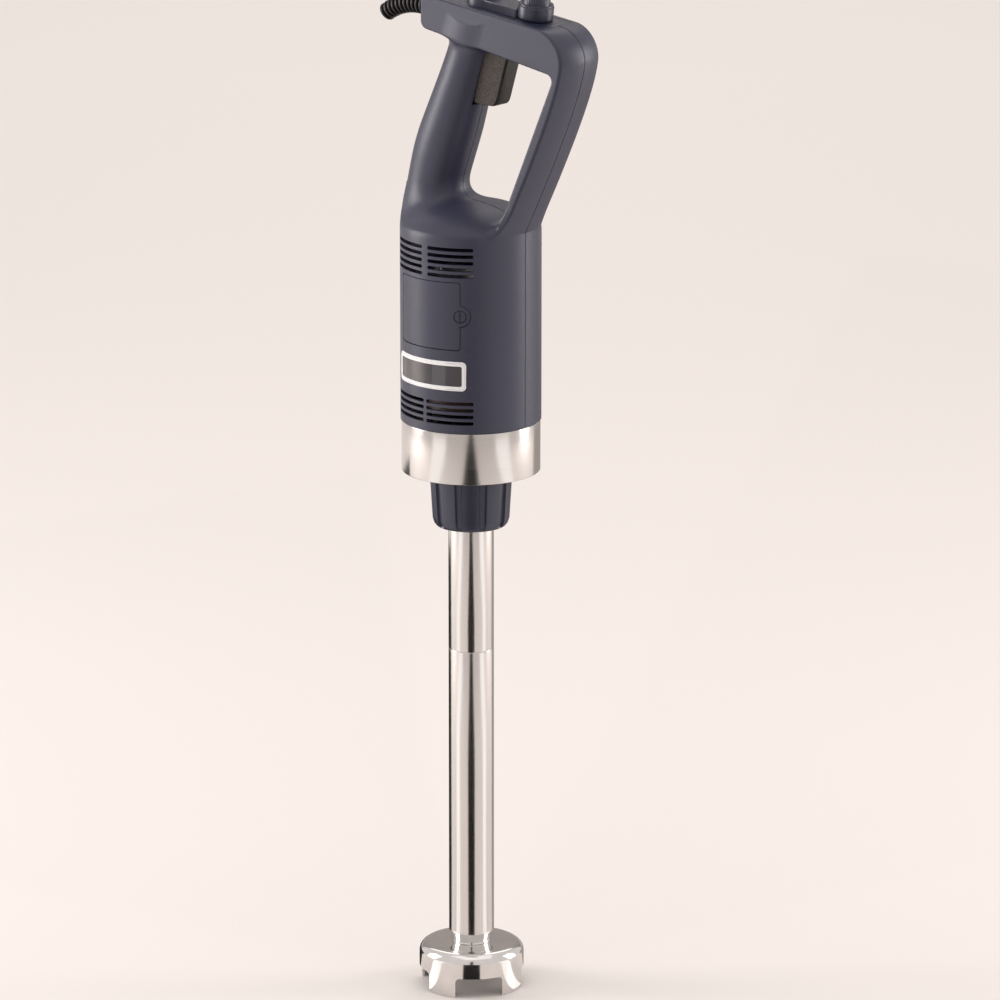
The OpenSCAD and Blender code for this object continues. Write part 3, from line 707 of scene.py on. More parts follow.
@dataclass(frozen=True)
class Rubber:
    """Soft rubber: either a fine satin skin or a coarse leather-like one, with painted shade in the creases
    of its skin.

    Attributes:
        colour: Colour in the open.
        deep: Painted shade in the creases: the colour that the skin takes at its cells' edges.
        cell: Size of the skin's cells, in millimetres.
        depth: Depth of the creases, in millimetres.
        rough: Lowest and highest roughness.
    """

    colour: Colour
    deep: Colour
    cell: float = 0.9
    depth: float = 0.02
    rough: tuple[float, float] = (0.5, 0.68)

    def material(self, name: str) -> bpy.types.Material:
        """Makes the material under a name."""
        g = Graph(name)
        creases = g.cells(self.cell)
        dust = g.noise((260, 260, 260), 4, 0.6)
        height = g.add(g.span(creases, 0, 1, 0.0, 0.22), dust, 0.35)
        # The colour darkens towards the creases as painted shade, and varies with the dust as the rubber's
        # own tone.
        g.wire("Base Color", g.blend(g.span(height, 0, 1, 0.3, 1.1), self.deep, self.colour))
        g.wire("Roughness", g.span(dust, *self.rough))
        g.relief(height, self.depth)
        g.set(Specular_IOR_Level=0.35)
        return g.material


@dataclass(frozen=True)
class Gloss:
    """A glossy dark lens with faint dust and hairline scratches.

    Attributes:
        colour: Colour under the gloss.
        rough: Lowest and highest roughness.
    """

    colour: Colour
    rough: tuple[float, float] = (0.05, 0.13)

    def material(self, name: str) -> bpy.types.Material:
        """Makes the material under a name."""
        g = Graph(name)
        hairs = g.noise((30, 30, 900), 5, 0.7)
        haze = g.noise((45, 45, 45), 2)
        g.wire("Base Color", g.blend(g.span(haze, 0, 1), self.colour, shade(self.colour, 1.5)))
        g.wire("Roughness", g.span(g.add(haze, hairs, 0.5), *self.rough, 0.5, 1.0))
        g.relief(hairs, 0.001)
        g.set(Specular_IOR_Level=0.6, Coat_Weight=0.6, Coat_Roughness=0.04)
        return g.material


@dataclass(frozen=True)
class Layered:
    """Something made of fine layers or strands: stacked laminations, wound wire or printed board.

    Attributes:
        colour: Colour of a layer.
        gap: Colour between layers.
        pitch: Layers' spacing, in millimetres.
        metallic: 1 for metal, 0 for the rest.
        axis: Axis that the layers follow one another along.
        rough: Lowest and highest roughness.
    """

    colour: Colour
    gap: Colour
    pitch: float
    metallic: float
    axis: str = "Z"
    rough: tuple[float, float] = (0.3, 0.5)

    def material(self, name: str) -> bpy.types.Material:
        """Makes the material under a name."""
        g = Graph(name)
        rings = 1 / (self.pitch * MM) * math.tau / 20
        inputs = {"Vector": g.place, "Scale": rings, "Distortion": 0.4, "Detail": 1.0}
        wave = g.node("ShaderNodeTexWave", inputs, bands_direction=self.axis).outputs["Fac"]
        wear = g.noise((180, 180, 180), 3)
        g.wire("Base Color", g.blend(g.span(wave, 0, 1, 0.1, 0.6), self.gap, self.colour))
        g.wire("Roughness", g.span(wear, *self.rough))
        g.relief(g.add(wave, wear, 0.3), 0.12)
        g.set(Metallic=self.metallic)
        return g.material


@dataclass(frozen=True)
class Paper:
    """Matt paper or cloth for the floor and the cards, with a barely seen tooth.

    Attributes:
        colour: Its colour.
    """

    colour: Colour

    def material(self, name: str) -> bpy.types.Material:
        """Makes the material under a name."""
        g = Graph(name)
        tooth = g.noise((450, 450, 450), 2)
        g.wire("Base Color", g.blend(tooth, shade(self.colour, 0.985), shade(self.colour, 1.015)))
        g.wire("Roughness", g.span(tooth, 0.85, 0.95))
        g.set(Specular_IOR_Level=0.1)
        return g.material


@dataclass(frozen=True)
class Glow:
    """A card that shines evenly.

    Attributes:
        colour: Colour of its light.
        strength: Strength of its light.
    """

    colour: Colour
    strength: float

    def material(self, name: str) -> bpy.types.Material:
        """Makes the material under a name."""
        g = Graph(name)
        g.set(Base_Color=(0, 0, 0, 1), Emission_Color=(*self.colour, 1), Emission_Strength=self.strength)
        return g.material


class Slot(Enum):
    """The record's material slots."""

    BODY = "body_plastic"
    DARK = "dark_plastic"
    BLACK = "black_plastic"
    TRIGGER = "trigger_rubber"
    BOOT = "boot_rubber"
    BRUSHED = "brushed_steel"
    POLISHED = "polished_steel"
    MACHINED = "machined_steel"
    BLADE = "blade_steel"
    ALUMINIUM = "cast_aluminium"
    CHROME = "chrome_trim"
    LENS = "dark_lens"
    COPPER = "copper_winding"
    BRONZE = "bronze"
    IRON = "core_iron"
    CARBON = "carbon"
    BUSH = "bush_plastic"
    BOARD = "board"


STEEL = (0.70, 0.675, 0.66)
FINISHES = {
    Slot.BODY: Moulding((0.028, 0.029, 0.056), 1.0, 0.1, (0.34, 0.46), 0.52),
    Slot.DARK: Moulding((0.015, 0.017, 0.040), 0.6, 0.03, (0.3, 0.42), 0.6),
    Slot.BLACK: Moulding((0.012, 0.012, 0.014), 0.6, 0.02, (0.35, 0.5)),
    # The second colour of each rubber is painted shade in the creases of its skin.
    Slot.TRIGGER: Rubber((0.088, 0.073, 0.066), (0.028, 0.022, 0.02), 1.5, 0.16, (0.55, 0.72)),
    Slot.BOOT: Rubber((0.016, 0.014, 0.014), (0.009, 0.008, 0.008), 0.8, 0.012, (0.3, 0.46)),
    Slot.BRUSHED: Metal(STEEL, Brush.ALONG, (0.12, 0.2), 0.0022),
    Slot.POLISHED: Metal(shade(STEEL, 1.03), Brush.POLISHED, (0.07, 0.15), 0.0),
    Slot.MACHINED: Metal(shade(STEEL, 0.9), Brush.TURNED, (0.24, 0.36), 0.006),
    Slot.BLADE: Metal(shade(STEEL, 0.96), Brush.POLISHED, (0.14, 0.26), 0.002),
    Slot.ALUMINIUM: Metal((0.60, 0.60, 0.61), Brush.CAST, (0.38, 0.55), 0.03),
    Slot.CHROME: Metal((0.86, 0.85, 0.85), Brush.POLISHED, (0.05, 0.11), 0.0),
    Slot.LENS: Gloss((0.016, 0.013, 0.018)),
    Slot.COPPER: Layered((0.075, 0.03, 0.016), (0.03, 0.012, 0.008), 0.8, 0.0),
    Slot.BRONZE: Metal((0.55, 0.33, 0.14), Brush.CAST, (0.32, 0.46), 0.01),
    Slot.IRON: Layered((0.30, 0.29, 0.29), (0.05, 0.045, 0.04), 0.5, 1.0),
    Slot.CARBON: Moulding((0.016, 0.016, 0.017), 0.3, 0.03, (0.6, 0.8)),
    Slot.BUSH: Moulding((0.66, 0.62, 0.52), 0.5, 0.01),
    Slot.BOARD: Layered((0.02, 0.13, 0.05), (0.015, 0.08, 0.035), 2.2, 0.0, "X", (0.3, 0.45)),
}


class Bench:
    """Puts finished pieces on the frame's bodies."""

    def __init__(self, frame: dict) -> None:
        """Keeps the loaded frame and makes one material for each slot."""
        self.frame = frame
        self.materials = {slot: finish.material(slot.value) for slot, finish in FINISHES.items()}
        bodies = frame["record"]["behaviour"]["bodies"]
        self.body_of = {node: body for body, nodes in bodies.items() for node in nodes}

    def fit(self, piece: bpy.types.Object, slot: Slot, *nodes: str) -> bpy.types.Object:
        """Dresses a piece and lets it stand for CAD nodes.

        Args:
            piece: The finished piece.
            slot: The slot whose finish it takes.
            nodes: The CAD nodes that it replaces; it rides on the first one's body.

        Returns:
            The piece.
        """
        if not any(piece.data.materials):
            piece.data.materials.clear()
            piece.data.materials.append(self.materials[slot])
        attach(piece, self.body_of[nodes[0]])
        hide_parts(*nodes)
        faces = len(piece.data.polygons)
        LOG.info("%s: %d faces, %s, for %s", piece.name, faces, slot.value, ", ".join(nodes))
        return piece

    def dress_rest(self) -> None:
        """Gives each CAD node that is still shown the finish of its slot."""
        for part in self.frame["record"]["subparts"]:
            node = self.frame["nodes"][part["node"]]
            slot = Slot(part["material_slot"])
            if node.hide_render:
                continue
            node.data.materials.clear()
            node.data.materials.append(self.materials[slot])
            LOG.info("%s: dressed as %s", part["node"], slot.value)


# ---- Studio ----


@dataclass
class Studio:
    """Pale floor, soft lights and the camera.

    Attributes:
        azimuth: Direction from the object to the camera, from +X towards +Y, in degrees.
        elevation: Height of the camera above the object, as an angle in degrees.
        distance: From the target to the camera, in metres.
        target: What the camera looks at, in metres.
        lens: Focal length, in millimetres.
        floor_size: Side of the floor, in metres.
    """

    azimuth: float = -50
    elevation: float = 15
    distance: float = 5.5
    target: Vector = field(default_factory=lambda: Vector((0.0194, 0.0163, 0.4458)))
    lens: float = 226
    floor_size: float = 40

    def toward(self, azimuth: float, elevation: float, distance: float) -> Vector:
        """A place at an azimuth, elevation and distance from the target."""
        a, e = math.radians(azimuth), math.radians(elevation)
        direction = Vector((math.cos(e) * math.cos(a), math.cos(e) * math.sin(a), math.sin(e)))
        return self.target + distance * direction

    def aim(self, thing: bpy.types.Object) -> None:
        """Turns a light or the camera towards the target."""
        thing.rotation_euler = (self.target - thing.location).to_track_quat("-Z", "Y").to_euler()

    def camera(self) -> None:
        """Makes the camera."""
        data = bpy.data.cameras.new("camera")
        data.lens = self.lens
        data.clip_end = 100
        eye = bpy.data.objects.new("camera", data)
        bpy.context.scene.collection.objects.link(eye)
        eye.location = self.toward(self.azimuth, self.elevation, self.distance)
        self.aim(eye)
        bpy.context.scene.camera = eye

    def lamp(self, name: str, turn: float, elevation: float, distance: float, size: Point, power: float,
             colour: Colour = (1.0, 0.97, 0.95)) -> bpy.types.Object:
        """Makes a soft rectangular light, aimed at the target.

        Args:
            name: Its name.
            turn: Its azimuth from the camera's, in degrees.
            elevation: Its elevation, in degrees.
            distance: Its distance from the target, in metres.
            size: Its width and height, in metres.
            power: Its power, in watts.
            colour: Its colour.

        Returns:
            The light.
        """
        data = bpy.data.lights.new(name, "AREA")
        data.shape = "RECTANGLE"
        data.size, data.size_y = size
        data.energy = power
        data.color = colour
        light = bpy.data.objects.new(name, data)
        bpy.context.scene.collection.objects.link(light)
        light.location = self.toward(self.azimuth + turn, elevation, distance)
        self.aim(light)
        return light

    def card(
        self, name: str, left: Sequence[Polar], right: Sequence[Polar], material: bpy.types.Material
    ) -> None:
        """Lays a card round the object, just above the floor, that only reflections show.

        Args:
            name: Its name.
            left: Its left edge outwards, as (azimuth from the camera's, distance in metres).
            right: Its right edge outwards.
            material: Its finish.
        """
        outline = []
        for turn, reach in (*right, *reversed(left)):
            angle = math.radians(self.azimuth + turn)
            outline.append((reach / MM * math.cos(angle), reach / MM * math.sin(angle)))
        self.hide_card(make(name, prism(outline, 0.4, 0.6)), material)

    def cards(self) -> None:
        """Lays the black, grey and glowing cards that the metal mirrors."""
        black = Paper((0.006, 0.005, 0.005)).material("black_cloth")
        grey = Paper((0.30, 0.28, 0.27)).material("grey_cloth")
        glow = Glow((1.0, 0.95, 0.92), 1.25).material("glow")
        self.card("middle_card", [(-12, 0.05), (-17, 0.9), (-5, 4)], [(12, 0.05), (17, 0.9), (5, 4)], black)
        self.card("left_card", [(-176, 0.05), (-176, 1.8)], [(-118, 0.05), (-122, 1.8)], black)
        self.card("right_card", [(122, 0.05), (126, 3)], [(170, 0.05), (170, 3)], grey)
        for side in (-1, 1):
            inner = [(side * turn, reach) for turn, reach in ((58, 0.05), (60, 1.0), (42, 2.2), (40, 4))]
            outer = [(side * turn, reach) for turn, reach in ((80, 0.05), (80, 1.0), (66, 2.2), (64, 4))]
            left, right = (outer, inner) if side < 0 else (inner, outer)
            self.card("glow_left" if side < 0 else "glow_right", left, right, glow)
        cloth = Paper((0.38, 0.36, 0.35)).material("screen_cloth")
        self.standing_card("screen", 180, 4.2, 3000, (250, 3500), cloth)
        self.standing_card("flag", 0, 4.0, 230, (5, 2600), black)

    def standing_card(
        self, name: str, turn: float, distance: float, half: float, heights: Point,
        material: bpy.types.Material
    ) -> None:
        """Stands a card upright, facing the object, that only reflections show.

        Args:
            name: Its name.
            turn: Its azimuth from the camera's, in degrees.
            distance: Its distance from the target, in metres.
            half: Half its width, in millimetres.
            heights: Its lower and upper edge, in millimetres.
            material: Its finish.
        """
        card = make(name, block(-half, half, -10, 10, *heights))
        card.location = self.toward(self.azimuth + turn, 0, distance) * Vector((1, 1, 0))
        card.rotation_euler = (0, 0, math.radians(self.azimuth + 90))
        self.hide_card(card, material)

    def hide_card(self, card: bpy.types.Object, material: bpy.types.Material) -> None:
        """Dresses a card and leaves it to reflections alone."""
        card.data.materials.append(material)
        card.visible_camera = False
        card.visible_diffuse = False
        card.visible_shadow = False

    def build(self) -> None:
        """Makes the camera, the lights, the world, the cards and the floor."""
        self.camera()
        self.lamp("left_light", -97, 14, 2.6, (1.1, 1.8), 46)
        self.lamp("right_light", 99, 12, 2.6, (1.0, 1.8), 34)
        self.lamp("top_light", 20, 80, 3.2, (3.2, 3.2), 14)
        self.lamp("far_light", 180, 32, 5.4, (4.5, 4.5), 60).rotation_euler = (0, 0, 0)
        world = bpy.data.worlds.new("studio")
        world.use_nodes = True
        world.node_tree.nodes["Background"].inputs[0].default_value = (1.0, 0.955, 0.93, 1)
        world.node_tree.nodes["Background"].inputs[1].default_value = 0.84
        bpy.context.scene.world = world
        floor = make("floor", prism(box_outline(-1, -1, 1, 1, 0.2), -0.05, 0))
        scale = self.floor_size / 2 / MM
        for vertex in floor.data.vertices:
            vertex.co = Vector((vertex.co.x * scale, vertex.co.y * scale, vertex.co.z))
        floor.data.materials.append(Paper((0.70, 0.66, 0.635)).material("paper"))
        self.cards()
        scene = bpy.context.scene
        scene.view_settings.view_transform = "Standard"
        scene.view_settings.look = "None"
        LOG.info("studio: camera, lights, cards and floor")


# ---- Arm ----


@dataclass
class Arm:
    """The stainless arm: bell, collar and the two tubes, which never part in use.

    Attributes:
        bell_r: Outside radius of the bell.
        bell_side: Height of its straight side.
        shoulder: Radius of its shoulder.
        wall: Its wall.
        arch_h: Height of the openings in its rim.
        arch_half: Half the width of an opening.
        arch_first: Direction of the first opening, in degrees.
        tube_r: Outside radius of the tubes.
        tube_wall: Wall of the tubes.
        steps: Sections in a turn.
    """

    bell_r: float = 46.5
    bell_side: float = 31
    shoulder: float = 8
    wall: float = 2
    arch_h: float = 18
    arch_half: float = 21.1
    arch_first: float = 49
    tube_r: float = 20
    tube_wall: float = 1.5
    steps: int = 160

    def bell(self) -> bpy.types.Object:
        """Builds the bell: a spun cup with four arches in a rolled rim."""
        top = self.bell_side + self.shoulder + 1
        outer = [(self.bell_r - self.wall, 0, 0.8), (self.bell_r, 0, 0.9),
                 (self.bell_r, self.bell_side + 8, 9)]
        crown = [(self.tube_r - 1, top, 1.0), (10, top, 0), (10, top - self.wall, 0)]
        inner = [(self.bell_r - self.wall, self.bell_side + 8 - self.wall, 7)]
        piece = make("bell_cup", revolve(rounded(outer + crown + inner, 8), self.steps))
        w, h = self.arch_half, self.arch_h
        arch = prism(rounded([(-w, -5, 0), (w, -5, 0), (w, h, 4), (-w, h, 4)], 8), 31, 60)
        stand = Matrix.Rotation(math.radians(90), 4, "Z") @ Matrix.Rotation(math.radians(90), 4, "X")
        turns = [Matrix.Rotation(math.radians(self.arch_first + 90 * i), 4, "Z") for i in range(4)]
        carve(piece, [arch.placed(turn @ stand) for turn in turns])
        return piece

    def tube(self, name: str, node: str) -> bpy.types.Object:
        """Builds one tube between the heights of its CAD node."""
        low, high = (corner.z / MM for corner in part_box(node))
        bore = self.tube_r - self.tube_wall
        edge = 0.45
        outline = [(bore, low, 0), (self.tube_r, low, edge), (self.tube_r, high, edge), (bore, high, 0)]
        return make(name, revolve(rounded(outline), self.steps))

    def collar(self) -> bpy.types.Object:
        """Builds the turned collar between the bell and the lower tube."""
        z = self.bell_side + self.shoulder + 1
        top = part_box("lower_tube")[0].z / MM
        bore = self.tube_r - self.tube_wall - 0.1
        waist = self.tube_r - 3.4
        outline = [(9, z - 4, 0), (10, z - 4, 0), (10, z, 0), (waist + 0.6, z, 0.5), (waist, z + 1.6, 1.2),
                   (self.tube_r - 2, top - 1.8, 0.8), (self.tube_r - 1.3, top, 0.5), (bore, top, 0),
                   (bore, top + 24, 0), (9, top + 24, 0)]
        return make("collar", revolve(rounded(outline), self.steps))

    def build(self, bench: Bench) -> None:
        """Builds and dresses the arm."""
        bench.fit(self.bell(), Slot.POLISHED, "bell")
        bench.fit(self.collar(), Slot.POLISHED, "bell_collar")
        bench.fit(self.tube("tube_lower", "lower_tube"), Slot.BRUSHED, "lower_tube")
        bench.fit(self.tube("tube_upper", "upper_tube"), Slot.BRUSHED, "upper_tube")


@dataclass
class CouplingNut:
    """The flared nut that locks the arm: raised lands with hollows between them.

    Attributes:
        low_r: Radius at the bottom, in the hollows.
        top_r: Radius at the top, in the hollows.
        proud: Height of the lands above the hollows.
        lands: Number of lands.
        land: Width of a land, as an angle.
        first: Direction of the first land.
    """

    low_r: float = 31.9
    top_r: float = 33.9
    proud: float = 2.4
    lands: int = 10
    land: float = 26
    first: float = -50

    def hollow(self, angle: float) -> float:
        """Depth below the lands at an angle."""
        pitch = 360 / self.lands
        from_land = abs((angle - self.first + pitch / 2) % pitch - pitch / 2)
        edge = (from_land - self.land / 2 + 1.2) / 2.6
        t = min(max(edge, 0), 1)
        return self.proud * t * t * (3 - 2 * t)

    def build(self, bench: Bench) -> None:
        """Builds and dresses the nut."""
        low, high = (corner.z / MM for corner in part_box("coupling_nut"))
        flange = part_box("tube_flange")[0].z / MM + 20
        top = self.top_r + self.proud
        bottom = self.low_r + self.proud - 1.2
        outline = rounded([
            (20.1, low, 0.3), (bottom - 2.6, low, 1.2), (bottom - 0.6, low + 2.6, 1.5),
            (bottom + 0.8, low + 7, 2), (top, high - 2.4, 1.2), (top - 1.2, high, 0.8), (30, high, 0.4),
            (30, flange, 0), (26, flange, 0), (26, low + 4, 0), (20.1, low + 4, 0)], 4)
        weights = [1.0 if r > self.low_r and z > low + 1.5 else 0.0 for r, z in outline]
        nut = make("locking_nut", revolve(outline, 720, self.hollow, weights), 40)
        bench.fit(nut, Slot.DARK, "coupling_nut")


# ---- Housing ----


@dataclass
class Housing:
    """The two moulded halves: round motor housing, domed shoulder, grip and D-loop.

    Attributes:
        drum_r: Radius of the housing.
        drum_z: Its lower end.
        ledge_z: Its upper edge, where the dome starts.
        dome_h: Height of the dome.
        dome_curve: Power of its profile; a lower one has a steeper foot.
        dome_power: Power of its profile's radius; a higher one has a flatter top.
        wall: Wall of both halves.
        bar_top: Height of the top bar over the tube's axis.
        bar_tilt: Fall of the bar's upper face, in degrees.
        bar_drop: Depth of the bar at its free end.
        under_tilt: Fall of the bar's lower edge, in degrees.
        bar_end: The bar's free end.
        reach: The strut's outer face at its top.
        corner: Radius of the corner between bar and strut.
        hole_corner: Radius of the corner of the loop's hole under the bar.
        hole_edge: Radius where the hole meets the bar and strut.
        end_edge: Radius round the bar's free end.
        side_edge: Radius along the loop's sides.
        drum_edge: Radius of the housing's upper edge.
        strut_lean: Lean of the strut's inner face, in degrees.
        strut_foot: Where that face would meet the foot of the dome.
        foot_lean: Lean of the strut's outer face at its foot, in degrees.
        half_w: Half the width of the loop.
        grip_r: Radius of the grip.
        grip_bend: Height over the ledge below which the grip curves upright.
        grip_x: Where its axis is at that height.
        grip_slope: How far its axis leans per millimetre of height above that.
        grip_curve: How quickly it straightens below that.
        swell_at: Height over the ledge of the grip's slight swell.
        swell_l: Reach of the swell.
        taper: How much thinner the grip is at its top.
        taper_from: Height over the ledge where it starts to narrow.
        taper_l: Height over which it narrows.
        grip_flow: Reach over which grip and dome flow together.
        loop_flow: Reach over which the loop and the housing flow together.
        seam: Gap between each half and the middle plane.
        proud_edge: How far the left half's edge stands out at the seam.
        cell: Sampling cell of the outer surface.
        slot_h: Height of a vent slot.
        slot_pitch: Spacing of the vent slots.
        trigger_low: The trigger's lowest point.
        pivot: The trigger's pin, as (x, z).
        brush_z: Height of the brushes.
    """

    drum_r: float = 61.5
    drum_z: float = 521
    ledge_z: float = 693
    dome_h: float = 22
    dome_curve: float = 0.72
    dome_power: float = 2.2
    wall: float = 3
    bar_top: float = 891
    bar_tilt: float = 7
    bar_drop: float = 25.4
    under_tilt: float = 9.6
    bar_end: float = -35
    reach: float = 127
    corner: float = 25
    hole_corner: float = 8
    hole_edge: float = 6
    end_edge: float = 5.5
    side_edge: float = 2
    drum_edge: float = 1.5
    strut_lean: float = 23.4
    strut_foot: float = 48
    foot_lean: float = 27
    half_w: float = 26
    grip_r: float = 26
    grip_bend: float = 82
    grip_x: float = -22.04
    grip_slope: float = 0.368
    grip_curve: float = 0.00112
    swell_at: float = 68
    swell_l: float = 25
    taper: float = 3.6
    taper_from: float = 80
    taper_l: float = 80
    grip_flow: float = 22
    loop_flow: float = 12
    seam: float = 0.04
    proud_edge: float = 0.26
    cell: float = 1.15
    slot_h: float = 3.2
    slot_pitch: float = 5.8
    trigger_low: float = 802
    pivot: Point = (22.4, 864)
    brush_z: float = 620

    def on_bar(self, x: float = 0) -> Matrix:
        """Frame of the bar's upper face, x along it from the tube's axis."""
        tilt = Matrix.Rotation(math.radians(self.bar_tilt), 4, "Y")
        return Matrix.Translation((0, 0, self.bar_top)) @ tilt @ Matrix.Translation((x, 0, 0))

    def under_at(self, x: float) -> float:
        """Height of the bar's lower edge."""
        return self.bar_top - self.bar_drop - (x - self.bar_end) * math.tan(math.radians(self.under_tilt))

    def outer_edge(self, y: np.ndarray, x: np.ndarray, z: np.ndarray) -> np.ndarray:
        """Distance beyond the strut's outer face, which is rounded like the drum and curves down to it."""
        tilt, half_turn = math.radians(self.bar_tilt), math.radians((90 - self.bar_tilt) / 2)
        straight_z = self.bar_top - self.reach * math.tan(tilt) - self.corner * math.tan(half_turn)
        bend = self.ledge_z + 1 + (self.reach - self.drum_r) / math.tan(math.radians(self.foot_lean))
        a = straight_z - 2 * bend + self.ledge_z + 1
        b = straight_z - bend
        below = np.maximum(straight_z - z, 0)
        t = (np.sqrt(b * b - a * below) - b) / -a
        edge = self.reach - (self.reach - self.drum_r) * t * t
        slope = (self.reach - self.drum_r) * t / (b - a * t)
        crown = self.drum_r - np.sqrt(np.maximum(self.drum_r**2 - y * y, 0))
        return (x + crown - edge) / np.sqrt(1 + slope * slope)

    def grip(self, x: np.ndarray, y: np.ndarray, z: np.ndarray, top: np.ndarray) -> np.ndarray:
        """The leaning grip, which straightens towards the dome and ends inside the bar."""
        middle = self.ledge_z + self.grip_bend
        drop = np.maximum(middle - z, 0)
        axis = self.grip_x + self.grip_slope * (z - middle) + self.grip_curve * drop * drop
        slope = self.grip_slope - 2 * self.grip_curve * drop
        swell = np.exp(-(((z - self.ledge_z - self.swell_at) / self.swell_l) ** 2))
        rise = np.clip((z - self.ledge_z - self.taper_from) / self.taper_l, 0, 1)
        taper = self.taper * rise * rise * (3 - 2 * rise)
        rod = np.hypot((x - axis) / np.sqrt(1 + slope * slope), y) - self.grip_r - swell + taper
        return np.maximum(rod, top + self.bar_drop - 6)

    def surface(self, x: np.ndarray, y: np.ndarray, z: np.ndarray) -> np.ndarray:
        """Field of the whole closed body, in millimetres, negative inside."""
        r = np.hypot(x, y)
        share = np.minimum(r / self.drum_r, 1)
        power, curve = self.dome_power, self.dome_curve
        rest = np.maximum(1 - share**power, 2e-3)
        slope = self.dome_h * curve * rest ** (curve - 1) * power * share ** (power - 1) / self.drum_r
        dome = (z - self.ledge_z - self.dome_h * rest**curve) / np.sqrt(1 + slope * slope)
        tilt = math.radians(self.bar_tilt)
        top = (z - self.bar_top + x * math.tan(tilt)) * math.cos(tilt)
        lean, under = math.radians(self.strut_lean), math.radians(self.under_tilt)
        strut = (x - self.strut_foot - (z - self.ledge_z + 3) * math.tan(lean)) * math.cos(lean)
        low = self.bar_top - self.bar_drop - (x - self.bar_end) * math.tan(under)
        hole = round_union(-strut, (low - z) * math.cos(under), self.hole_corner)
        outer = self.outer_edge(y, x, z)
        frame = round_cut(round_cut(top, outer, self.corner), self.bar_end - x, self.end_edge)
        loop = round_cut(round_cut(frame, hole, self.hole_edge), np.abs(y) - self.half_w, self.side_edge)
        head = soft_union(dome, self.grip(x, y, z, top), self.grip_flow)
        drum = round_cut(head, r - self.drum_r, self.drum_edge)
        return np.maximum(soft_union(drum, loop, self.loop_flow), np.minimum(outer, r - self.drum_r))

    def cavity(self, x: np.ndarray, y: np.ndarray, z: np.ndarray) -> np.ndarray:
        """Field of the hollow inside the walls."""
        return self.surface(x, y, z) + self.wall

    def posts(self) -> list[Point]:
        """Places of the screw posts, as (x, z)."""
        r = self.drum_r
        return [(self.bar_end + 23, self.bar_top - 15), (self.reach - 19, self.bar_top - 32),
                (-29.1, self.ledge_z + 62), (r - 12, self.ledge_z - 14), (14 - r, self.ledge_z - 14),
                (r - 12, self.drum_z + 8), (12 - r, self.drum_z + 8)]

    def rod(self, place: Point, radius: float, near: float, far: float) -> Solid:
        """A round tool across the middle plane, from one Y to another."""
        turn = Matrix.Translation((place[0], 0, place[1])) @ Matrix.Rotation(math.radians(-90), 4, "X")
        return disc(radius, min(near, far), max(near, far), 48).placed(turn)

    def vents(self, side: int) -> Solid:
        """Tool for the slots on one side, with round ends."""
        slots = []
        rows = [(self.ledge_z - 8 - self.slot_h - i * self.slot_pitch, 2.8) for i in range(5)]
        rows += [(self.drum_z + 7.5 + i * self.slot_pitch, 1.3) for i in range(4)]
        for z, near in rows:
            for start, end in ((90 * side + near, 90 * side + 42.4), (90 * side - 42.4, 90 * side - near)):
                columns = panel_columns(start, end, z, z + self.slot_h, 1.55, self.drum_r)
                slots.append(wrapped(columns, self.drum_r - 8, self.drum_r + 5))
        return join(slots)

    def openings(self, side: int, fittings: "SideFittings") -> list[Solid]:
        """Tools for what is let into one half.

        Args:
            side: 1 for the left half, -1 for the right half.
            fittings: The covers and the badge, which cut their own recesses.

        Returns:
            The tools.
        """
        tools = [self.vents(side), self.rod((0, self.brush_z), 7, 30 * side, 80 * side)]
        tools += fittings.recesses(side)
        tools.append(prism(box_outline(-12, -20, 98, 20, 4), -1.25, 9).placed(self.on_bar()))
        for x in (17.1, 72.5):
            tools.append(disc(4.6, -9, 9).placed(self.on_bar(x)))
        low, (px, _) = self.trigger_low - 0.5, self.pivot
        top = self.under_at(px + 32) - 1.2
        tools.append(across(box_outline(px - 14, low, px + 32, top, 2.5), 11.5))
        tools.append(across(box_outline(px - 7, low + 31, px + 15, low + 59, 1), 11))
        tools.append(disc(7.6, -8, 8).placed(Matrix.Translation((self.bar_end, 0, self.bar_top - 10.5))
                                             @ Matrix.Rotation(math.radians(90), 4, "Y")))
        for place in self.posts():
            if side > 0:
                tools += [self.rod(place, 3.6, 10, 90), self.rod(place, 2, -1, 12)]
            else:
                tools.append(self.rod(place, 1.6, 1, -17))
        return tools

    def half(self, side: int, outer: Solid, inner: Solid, fittings: "SideFittings") -> bpy.types.Object:
        """Builds one moulded half.

        Args:
            side: 1 for the left half, -1 for the right half.
            outer: The body's surface on the +Y side.
            inner: The cavity's surface on the +Y side.
            fittings: What is let into the side.

        Returns:
            The half.
        """
        flip = np.array((1, side, 1))
        name = "left_half" if side > 0 else "right_half"
        piece = make(name, Solid(outer.points * flip, outer.faces))
        hollow = make("hollow", Solid(inner.points * flip, inner.faces))
        carve(hollow, [self.rod(place, 4.8, -90, 90) for place in self.posts()])
        y0, y1 = sorted((self.seam * side, 90 * side))
        carve(piece, [taken(hollow)])
        carve(piece, [block(-90, 190, y0, y1, self.drum_z, 990)], Cut.KEEP)
        carve(piece, self.openings(side, fittings))
        if side > 0:
            self.ease_seam(piece)
        dress_normals(piece, self.surface, side)
        return piece

    def ease_seam(self, piece: bpy.types.Object) -> None:
        """Lets the left half's edge stand proud at the seam, so that the joint catches light."""
        points = np.array([v.co for v in piece.data.vertices]) / MM
        at_seam = np.abs(points[:, 1] - self.seam) < 0.02
        outer = np.abs(self.surface(*points.T)) < 0.05
        slope = gradient(self.surface, points)
        for i in np.nonzero(at_seam & outer & (points[:, 2] > self.drum_z + 0.1))[0]:
            piece.data.vertices[i].co += Vector((slope[i][0], 0, slope[i][2])) * self.proud_edge * MM

